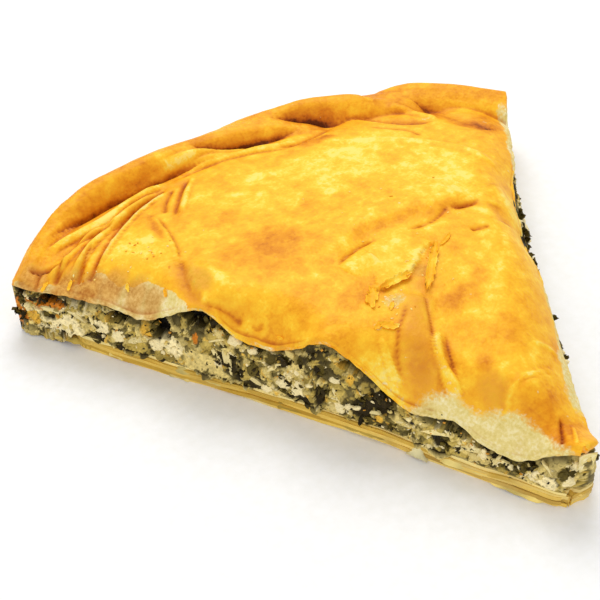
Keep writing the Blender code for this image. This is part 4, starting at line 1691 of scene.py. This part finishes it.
    def build_leaves(self, material: Material) -> Piece:
        """Cooked spinach: small crumpled slabs that lie on the faces, thickest at the named dark places.

        Args:
            material: cooked leaf.

        Returns:
            The object.
        """
        draw = np.random.default_rng(self.seed + 1)
        faces = slab_faces(*self.leaf_grid)
        batch = Batch()
        named = [spot for spot in self.filling.spots if spot.tone in (DARK, LEAF, GREY)]
        for k in range(self.leaves):
            if k < 3 * len(named):
                side, along, up = self.near_spot(draw, named[k % len(named)], 0.8, 0.8)
                along = min(along, 0.976)
                long = draw.uniform(0.0016, 0.0026 if along < 0.06 or along > 0.9 else 0.0040)
            else:
                side, along, up = self.spot_on_face(draw, 0.008)
                long = draw.uniform(0.0010, 0.0028)
            size = (long, long * draw.uniform(0.4, 0.8), self.leaf_thickness)
            shape = self.sheet(draw, size, self.leaf_crumple, self.leaf_grid)
            up = self.settle(side, along, up, long / 2)
            place = self.filling.stand_out(along, up, draw.uniform(-0.0002, 0.0004), side)
            tone = DARK if draw.random() < 0.6 else LEAF
            tint = light_of(tone.value) * draw.uniform(0.7, 1.3)
            batch.add(shape @ self.frame_of(side, draw, 0.7) + place, faces, tint)
        for k in range(self.flank_leaves):
            along = (0.035, 0.30, 0.31, 0.40, 0.235, 0.22)[k] if k < 6 else draw.uniform(0.43, 0.66)
            shape = self.sheet(draw, (0.0024, 0.0016, self.leaf_thickness), self.leaf_crumple, self.leaf_grid)
            shape = shape @ self.frame_of(RIGHT, draw, 0.9)
            up = draw.uniform(0.100, 0.122) if k else 0.082
            place = self.filling.stand_out(along, up, draw.uniform(0, 1.1 if k else 0.3) * MM, RIGHT)
            batch.add(shape + place, faces, tint)
        return batch.piece("spinach_leaves", material, "tone")

    def build_strips(self, material: Material) -> Piece:
        """Leek: long narrow slabs, the first few at the places where they show, the others at random.

        Args:
            material: cooked leek.

        Returns:
            The object.
        """
        draw = np.random.default_rng(self.seed + 2)
        faces = slab_faces(*self.strip_grid)
        batch = Batch()
        shown = (
            (0.577, 0.070, 80, 0.0110, 0.0019), (0.216, 0.067, -18, 0.0075, 0.0016),
            (0.640, 0.060, 30, 0.0090, 0.0022), (0.607, 0.045, 38, 0.0085, 0.0016),
            (0.596, 0.073, 60, 0.0065, 0.0013), (0.530, 0.050, 25, 0.0060, 0.0012),
            (0.740, 0.060, -30, 0.0080, 0.0020), (0.170, 0.056, -10, 0.0070, 0.0014),
            (0.385, 0.070, 70, 0.0050, 0.0012),
        )
        for k in range(self.strips):
            if k < len(shown):
                along, up, turn, long, wide = shown[k]
                side = LEFT
                turn = math.radians(turn)
                first = self.form.along(side) * math.cos(turn) + UP * math.sin(turn)
                out = self.form.outward(side)
                axes = np.stack([first, np.cross(out, first), out])
            else:
                side, along, up = self.spot_on_face(draw, 0.020)
                long, wide = draw.uniform(0.003, 0.006), draw.uniform(0.0007, 0.0013)
                axes = self.frame_of(side, draw, 0.3)
            if self.hidden(side, along, up):
                continue
            shape = self.sheet(draw, (long, wide, 0.0006), 0.0003, self.strip_grid)
            up = self.settle(side, along, up, 0.001 if k < len(shown) else long / 2)
            place = self.filling.stand_out(along, up, draw.uniform(0.0004, 0.0007), side)
            tint = light_of(self.leek) * draw.uniform(0.8, 1.05)
            batch.add(shape @ axes + place, faces, tint)
        return batch.piece("leek_strips", material, "tone")

    def build_flecks(self, material: Material) -> Piece:
        """Herb flecks and crumbs of crust: tiny eight-cornered chips with their corners pushed about.

        Args:
            material: chopped mix.

        Returns:
            The object.
        """
        draw = np.random.default_rng(self.seed + 3)
        chip, faces = cube_ball(1)
        batch = Batch()
        tones = (("#241d0c", 0.42), ("#4b431d", 0.18), ("#d9962c", 0.10), ("#f3e3b0", 0.22), ("#b9872e", 0.08))
        for _ in range(self.flecks):
            side, along, up = self.spot_on_face(draw, 0.003 if draw.random() < 0.8 else -0.012)
            size = draw.uniform(0.00018, 0.00048)
            pushed = chip * draw.uniform(0.55, 1.4, chip.shape)
            shape = pushed * draw.uniform([0.8, 0.5, 0.3], [1.8, 1.0, 0.8]) * size
            place = self.filling.stand_out(along, up, draw.uniform(0.0001, 0.0006), side)
            pick = draw.choice(len(tones), p=[part for _, part in tones])
            tint = light_of(tones[pick][0]) * draw.uniform(0.8, 1.15)
            batch.add(shape @ self.frame_of(side, draw, 0.6) + place, faces, tint)
        return batch.piece("herb_flecks", material, "tone")


@dataclass
class CrustFlakes:
    """Loose and torn bits of filo: on the lid, along its torn edges and at the cut of the base."""

    form: PieForm
    crust: TopCrust
    seed: int = 77
    # Larger flakes on the lid: x, y, length and width in mm, turn in degrees and curl in mm.
    flakes: tuple[tuple[float, float, float, float, float, float], ...] = (
        (0.018, 0.387, 16.5, 2.2, 46, 0.9), (-0.055, 0.384, 8.6, 2.0, 4, 0.5),
        (-0.108, 0.376, 5.8, 2.4, 50, 0.6), (-0.120, 0.314, 4.2, 1.9, -36, 0.5),
        (-0.134, 0.322, 2.2, 1.6, 20, 0.3), (-0.092, 0.345, 2.4, 1.1, 40, 0.3),
        (0.078, 0.426, 5.0, 1.0, 25, 0.4), (-0.355, 0.600, 2.2, 0.9, 55, 0.3),
        (-0.395, 0.658, 2.4, 0.9, 60, 0.3), (-0.466, 0.733, 2.8, 0.9, 36, 0.3),
        (-0.500, 0.763, 2.8, 1.0, 32, 0.3), (-0.250, 0.420, 1.8, 0.7, -55, 0.3),
    )
    # Places with many tiny flecks: centre, spread and count.
    showers: tuple[tuple[float, float, float, int], ...] = (
        (-0.330, 0.690, 0.050, 22), (-0.085, 0.350, 0.022, 16), (0.010, 0.390, 0.040, 8),
        (-0.440, 0.720, 0.030, 14), (0.050, 0.560, 0.150, 10),
    )

    def lid_frame(self, x: float, y: float, turn: float) -> tuple[Array, Array]:
        """Where a flake lies on the lid, and its axes as rows, square to the surface there.

        Args:
            x, y: shares of the radius from the pie's centre.
            turn: radians from the level x direction.

        Returns:
            The point and the (3, 3) axes.
        """
        radius = self.form.radius
        step = 0.0006
        sides = np.array([[0, 0], [step, 0], [0, step]]) + np.array([x, y]) * radius
        height = self.crust.surface(sides[:, 0], sides[:, 1])
        normal = unit(np.array([height[0] - height[1], height[0] - height[2], step]))
        first = np.array([math.cos(turn), math.sin(turn), 0.0])
        first = unit(first - normal * (first @ normal))
        place = self.form.place(sides[0, 0], sides[0, 1], height[0])
        return place, np.stack([first, np.cross(normal, first), normal])

    def build(self, material: Material) -> Piece:
        """Curled scraps with ragged edges and tiny flecks, all as closed slabs that touch the lid.

        Args:
            material: baked filo.

        Returns:
            The object.
        """
        draw = np.random.default_rng(self.seed)
        batch = Batch()
        large, small = slab_faces(25, 7), slab_faces(3, 3)
        for x, y, long, wide, turn, curl in self.flakes:
            place, axes = self.lid_frame(x, y, math.radians(turn))
            u, v = span_grid(25, 7)
            places = triples(u * long * 0.8, v * 1.4, 0.4) + draw.uniform(0, 50, 3)
            ragged = 1 + 0.35 * lattice_noise(places, 5)
            ragged = ragged.reshape(u.shape)
            taper = np.clip(1.15 - 0.75 * np.abs(u) ** 2.2, 0.2, 1)
            rise = 0.10 + curl * (0.25 * u**2 + 0.75 * v**2) * (0.6 + 0.4 * ragged)
            upper = np.stack([u * long / 2 * ragged, v * taper * wide / 2 * ragged, rise], -1) * MM
            lower = upper - np.array([0, 0, 0.22]) * MM
            edge = np.clip(np.maximum(np.abs(u), np.abs(v)) - 0.6, 0, 1).ravel()
            bake_and_shade = np.stack([0.16 - 0.3 * edge, 0.10 + 0.5 * edge, 0 * edge, 0 * edge], 1)
            tint = np.clip(np.concatenate([bake_and_shade, bake_and_shade]), 0, 1)
            batch.add(slab_points(upper, lower) @ axes + place, large, tint)
        for x, y, spread, count in self.showers:
            for _ in range(count):
                at = np.array([x, y]) + draw.normal(0, 1, 2) * spread * 0.6
                place, axes = self.lid_frame(at[0], at[1], draw.uniform(0, math.pi))
                share, across = self.form.locate(*at[:, None] * self.form.radius)
                if abs(across[0]) > 0.97 or share[0] > 0.97 or share[0] < 0.05:
                    continue
                u, v = span_grid(3, 3)
                long, wide = draw.uniform(0.20, 0.50), draw.uniform(0.14, 0.30)
                lift = 0.06 + 0.12 * draw.random((3, 3))
                upper = np.stack([u * long * (1 - 0.3 * v**2), v * wide * (1 - 0.5 * u**2), lift], -1) * MM
                lower = upper - np.array([0, 0, 0.2]) * MM
                bake_and_shade = np.array([0.05, 0.45, 0, 0]) if draw.random() < 0.7 else np.array([0.45, 0, 0.2, 0])
                batch.add(slab_points(upper, lower) @ axes + place, small, bake_and_shade)
        u, v = np.meshgrid(np.linspace(0.05, 1, 9), np.linspace(0, 1, 6), indexing="ij")
        x, y = self.form.in_plan(np.full(u.shape, 0.024), u)
        frayed = lattice_noise(triples(u * 6, v * 0.5, 0.3), 12).reshape(u.shape)
        z = 0.0166 - v * (0.0050 + 0.0022 * u + 0.0014 * frayed)
        upper = self.form.place(x, y - 0.0026 + 0.0014 * u - 0.0003 * np.sin(3 * v + 2 * u), z)
        lower = upper + np.array([0, 0.25, 0]) * MM
        batch.add(slab_points(upper, lower), slab_faces(9, 6), np.array([0.1, 0.85, 0, 0]))
        return batch.piece("crust_flakes", material, "bake_and_shade")


@dataclass(frozen=True)
class Band:
    """A torn band of sheet on the left cut: from and to, its low edge, its top at the ends and in the middle.

    All are shares of the radius. Out is how far it stands out, in millimetres.
    """

    start: float
    stop: float
    low: float
    mid: float
    high: float
    out: float
    tone: str


@dataclass
class BottomCrust:
    """The stacked filo sheets under the filling, turned up at the rim as the outer wall."""

    form: PieForm
    rows: int = 150
    columns: int = 190
    fillet: float = 0.0060
    # From the lowest sheet up: its colour, and how far its cut edge stands out on the left, in millimetres.
    sheets: tuple[tuple[str, float], ...] = (
        ("#ebc75c", 0.5), ("#c59c38", 0.8), ("#e2bd58", 0.7), ("#cba544", 0.6), ("#f4de90", 0.3),
    )
    wall_gold: str = "#dfa038"
    wall_brown: str = "#a35f18"
    tip_tint: str = "#f6de8c"
    band_grid: tuple[int, int] = (40, 4)
    # Paler and darker patches of the sheets, with the sign of the noise where each shows.
    patches: tuple[tuple[str, float], ...] = (("#f2e3a4", 1.4), ("#a67a24", -1.4))
    bands: tuple[Band, ...] = tuple(Band(*row) for row in (
        (0.105, 0.225, 0.010, 0.018, 0.023, 1.2, "#fbe38a"),
        (0.015, 0.150, 0.003, 0.008, 0.012, 1.3, "#f6da7c"),
        (0.030, 0.110, 0.018, 0.026, 0.032, 0.8, "#f2d05e"),
        (0.226, 0.262, 0.004, 0.008, 0.030, 1.6, "#fff2b8"),
        (0.270, 0.420, 0.011, 0.015, 0.020, 1.1, "#c8a748"),
        (0.430, 0.500, 0.007, 0.012, 0.017, 1.2, "#bd9a3c"),
        (0.555, 0.705, 0.013, 0.020, 0.027, 1.0, "#dcc674"),
        (0.635, 0.700, 0.001, 0.006, 0.010, 1.2, "#ffe48a"),
        (0.765, 0.810, 0.003, 0.010, 0.016, 1.1, "#f8dc80"),
        (0.820, 0.930, 0.009, 0.014, 0.018, 0.8, "#d0b252"),
    ))

    def sheet_point(self, run: Array, across: Array, level: Array, spread: Array) -> Array:
        """A place in the stack. Run goes from the tip along the base, round a quarter turn and up the wall.

        Args:
            run: 0 at the tip to 1 at the top of the wall, by length.
            across: between the cuts.
            level: 0 on the underside to 1 on the inner side.
            spread: how far the cut edges stand out, in metres.

        Returns:
            (n, 3) points.
        """
        form = self.form
        outer = form.outer_share * form.radius + form.gap + form.wall_thickness
        flat = outer - self.fillet
        bend = self.fillet * math.pi / 2
        climb = form.rim_seat - self.fillet
        torn = ease((-0.925 - across + lattice_noise(triples(across * 90), 99) * 0.012) / 0.02)
        climb = climb * (1 - 0.07 * (1 + lattice_noise(triples(across * 46), 60)))
        length = run * (flat + (bend + climb) * (1 - 0.88 * torn))
        turn = np.clip((length - flat) / bend, 0, 1)
        angle = turn * math.pi / 2
        thick = form.base_thickness + (form.wall_thickness - form.base_thickness) * ease(turn)
        radius = np.minimum(length, flat) + self.fillet * np.sin(angle) - level * thick * np.sin(angle)
        z = self.fillet * (1 - np.cos(angle)) + np.maximum(length - flat - bend, 0)
        z += level * thick * np.cos(angle)
        radius -= 0.9 * MM * self.wrinkle(run, across) * np.sin(angle) * (1 - level)
        x, y = form.in_plan(radius / form.radius, across, form.left_flare + spread, form.right_flare + spread)
        return form.place(x, y, z)

    @staticmethod
    def wrinkle(run: Array, across: Array) -> Array:
        """How deep the wall is sunk, 0 to 1: noise stretched along the rim, crossed by a few upright folds."""
        lay = noise(triples(across * 0.022, run * 0.15), 0.0040, 64)
        folds = noise(triples(across * 0.088, run * 0.03), 0.0070, 65, 2)
        return np.clip(0.45 + 0.45 * lay + 0.5 * folds, 0, 1)

    def band_slab(self, band: Band, k: int) -> Array:
        """Vertices of a torn band, whose lower and upper edges wander by noise.

        Args:
            band: where it shows.
            k: its number, which seeds the noise.

        Returns:
            The vertices, in the order of slab_faces.
        """
        form = self.form
        u, v = span_grid(*self.band_grid, 0.0)
        along = band.start + (band.stop - band.start) * u
        jag = lattice_noise(triples(along / 0.007, 0.0, 3.0 * k), 15).reshape(u.shape)
        drift = lattice_noise(triples(along / 0.05, 0.0, 7.0 * k), 16).reshape(u.shape)
        fringe = lattice_noise(triples(along / 0.018, v * 0.4, 5.0 * k), 14).reshape(u.shape)
        flap = band.high - band.mid > 0.012
        lens = (1 - np.abs(2 * u - 1)) ** 0.9 if flap else np.sin(np.pi * np.clip(u, 0.02, 0.98)) ** 0.25
        top = band.mid + (band.high - band.mid) * np.sin(np.pi * u) + 0.0026 * jag + 0.0040 * fringe
        bottom = band.low + 0.0030 * drift - 0.0014 * jag
        up = np.clip(bottom + (top - bottom) * v * lens, 0.0008, 1)
        shown = 1.0 if flap else ease(u / 0.25) * ease((1 - u) / 0.25)
        push = ((band.out + 0.4 - 0.8 * v + 0.4 * fringe) * shown - 1.0 * (1 - shown)) * MM
        points = []
        for depth in (0.0, 0.22 * MM):
            x, y = form.in_plan(along, np.full_like(along, -1.0), push - depth, 0.0)
            points.append(form.place(x, y, up * form.radius))
        return slab_points(points[1], points[0])

    def build(self, material: Material) -> Piece:
        """Thin slabs, one inside the other, each with its own wavy edge, and torn bands at the left cut.

        Args:
            material: oiled filo.

        Returns:
            The object.
        """
        batch = Batch()
        count = len(self.sheets)
        for k, (tone, out) in enumerate(self.sheets):
            rows, columns = self.rows, self.columns if k == 0 else 26
            run = np.linspace(0, 1, rows)
            across = np.linspace(-1, 1, columns)
            across = across + 0.20 * np.sin(np.pi * across) / np.pi
            run, across = (grid.ravel() for grid in np.meshgrid(run, across, indexing="ij"))
            start = 0.012 + 0.008 * lattice_noise(triples(across * 4, 0.0, 3.1 * k), 98)
            run = start + (1 - start) * run
            places = triples(run * 0.15, np.sign(across), float(k))
            jag = 0.60 * noise(places, 0.026, 81 + k) + 0.10 * noise(places, 0.003, 91 + k)
            spread = (np.where(across < 0, out, 0.4 * out - 0.3) + jag) * MM
            spread = spread * ease((0.86 - run) / 0.08) * ease(run / 0.03)
            spread -= np.where(across < 0, 2.6, 0.3) * MM * ease((run - 0.87) / 0.05)
            wave = 1.30 * noise(triples(run * 0.15, across * 0.05), 0.026, 95)
            wave += 0.60 * noise(places, 0.011, 96)
            calm = ease((1 - np.abs(across)) / 0.15) if k in (0, count - 1) else 0.0
            wave = wave * (1 - calm)
            low = np.clip((k - 0.10 + wave) / count, 0, 1)
            high = np.clip((k + 1.08 + wave) / count, 0, 1)
            upper = self.sheet_point(run, across, high, spread).reshape(rows, columns, 3)
            lower = self.sheet_point(run, across, low, spread).reshape(rows, columns, 3)
            patch = noise(triples(across * 0.088, run * 0.15), 0.012, 66, 4)
            # Browning in patches, plus painted shade where the wall's wrinkles sink it.
            browned = np.clip(0.42 + 0.55 * patch + 0.6 * (self.wrinkle(run, across) - 0.5), 0, 1)
            wall = blend(light_of(self.wall_gold), light_of(self.wall_brown), browned)
            shade = light_of(tone) * (1.05 + 0.15 * noise(places, 0.018, 97))[:, None]
            light = ease((0.40 - run) / 0.22) * ease(0.5 + 1.4 * noise(places, 0.03, 86))
            shade = blend(shade, light_of(self.tip_tint), 0.55 * light)
            for other, sign in self.patches:
                wander = np.clip(sign * noise(places, 0.017, 87 + k) - 0.25, 0, 0.75)
                shade = blend(shade, light_of(other), wander)
            shade = blend(shade, wall, ease((run - 0.885) / 0.05))
            shade[:, 3] = 1
            batch.add(slab_points(upper, lower), slab_faces(rows, columns), np.concatenate([shade, shade]))
        for k, band in enumerate(self.bands):
            shape = self.band_slab(band, k)
            shade = light_of(band.tone) * (0.84 + 0.45 * noise(shape, 0.005, 89))[:, None]
            batch.add(shape, slab_faces(*self.band_grid), shade)
        return batch.piece("base_sheets", material, "sheet")


@dataclass(frozen=True)
class Studio:
    """Pale floor, soft lights and the camera."""

    target: tuple[float, float, float] = (-0.01774986, -0.00973919, 0.00833184)
    azimuth: float = -32.91097558
    elevation: float = 41.39867393
    distance: float = 0.28980781
    lens: float = 66.472
    roll: float = 0.14693395
    floor_size: float = 6.0

    def add_floor(self) -> None:
        """A pale floor under the slice, as a flat grid of nine by nine vertices."""
        line = np.linspace(-self.floor_size / 2, self.floor_size / 2, 9)
        x, y = np.meshgrid(line, line, indexing="ij")
        points = triples(x, y, -0.00002)
        material, add, shader, place = Finish("pale_paper", 0.9).begin()
        grain = add("TexNoise", {0: place, "Scale": 1 / (3 * MM), "Detail": 3, "Roughness": 0.55})
        colour = add("ValToRGB", {0: grain}, stops=[(0.3, "#fafaf8"), (0.7, "#ffffff")])
        shader.id_data.links.new(colour, shader.inputs["Base Color"])
        make_piece("floor", points, [grid_quads(9, 9)], material, inside=False)

    def add_light(self, name: str, place: tuple[float, float, float], size: float, watts: float) -> None:
        """Add a square area light that looks at the slice.

        Args:
            name: the light's name.
            place: where it hangs.
            size: its edge in metres.
            watts: its power.
        """
        light = bpy.data.lights.new(name, "AREA")
        light.size = size
        light.energy = watts
        made = bpy.data.objects.new(name, light)
        made.location = place
        made.rotation_euler = (-Vector(place)).to_track_quat("-Z", "Y").to_euler()
        bpy.context.scene.collection.objects.link(made)

    def add_camera(self) -> None:
        """The camera, turned about the target by azimuth, elevation and roll, then moved back from it."""
        data = bpy.data.cameras.new("camera")
        data.sensor_fit = "HORIZONTAL"
        data.sensor_width = 36
        data.lens = self.lens
        data.clip_start = 0.01
        camera = bpy.data.objects.new("camera", data)
        place = Matrix.Translation(self.target)
        for degrees, axis in ((self.azimuth, "Z"), (90 - self.elevation, "X"), (self.roll, "Z")):
            place = place @ Matrix.Rotation(math.radians(degrees), 4, axis)
        camera.matrix_world = place @ Matrix.Translation((0, 0, self.distance))
        bpy.context.scene.collection.objects.link(camera)
        bpy.context.scene.camera = camera

    def build(self) -> None:
        """Floor, lights, camera and a plain view of the colours."""
        self.add_floor()
        self.add_light("overhead", (0.16, 0.34, 0.62), 0.45, 2.8)
        self.add_light("front_fill", (-0.60, -0.55, 0.35), 0.8, 1.6)
        self.add_camera()
        world = bpy.data.worlds.new("studio")
        world.use_nodes = True
        backdrop = world.node_tree.nodes["Background"]
        backdrop.inputs["Color"].default_value = (1, 1, 1, 1)
        backdrop.inputs["Strength"].default_value = 0.66
        bpy.context.scene.world = world
        bpy.context.scene.view_settings.view_transform = "Standard"


def join_body(piece: Piece, node: str) -> None:
    """Let a piece ride on the body and stand for its CAD node, which is hidden.

    Args:
        piece: the piece.
        node: the CAD node that it replaces.
    """
    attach(piece, "root")
    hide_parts(node)
    LOG.info("%s: %d faces", piece.name, len(piece.data.polygons))


def main() -> None:
    """Build the slice's three layers, dress them and set the studio."""
    logging.basicConfig(level=logging.INFO, format="%(name)s %(message)s")
    form = PieForm()
    top = TopCrust(form)
    golden = GoldenFilo().build()
    join_body(top.build_lid(golden), "top_crust")
    filling = Filling(form)
    join_body(filling.build_core(ChoppedMix(gloss=0.16, flecked=0.5).build()), "filling")
    scatter = CutScatter(form, filling)
    cheese = ChoppedMix("crumbled_white_cheese", 0.55, grain_mm=0.6, strength=0.8, spread=0.16, flecked=0.14)
    leaf = ChoppedMix("cooked_spinach", 0.42, gloss=0.14, grain_mm=0.8, strength=0.5, spread=0.40)
    leek = ChoppedMix("cooked_leek", 0.36, grain_mm=0.9, strength=0.3, spread=0.14)
    chips = ChoppedMix("herb_and_crumb_chips", 0.5, grain_mm=0.4, strength=0.2, spread=0.15)
    bits = (
        scatter.build_crumbs(cheese.build()), scatter.build_leaves(leaf.build()),
        scatter.build_strips(leek.build()), scatter.build_flecks(chips.build()),
    )
    for piece in bits:
        join_body(piece, "filling")
    join_body(CrustFlakes(form, top).build(golden), "top_crust")
    base = BottomCrust(form)
    join_body(base.build(BaseFilo().build()), "bottom_crust")
    Studio().build()


if __name__ == "__main__":
    main()
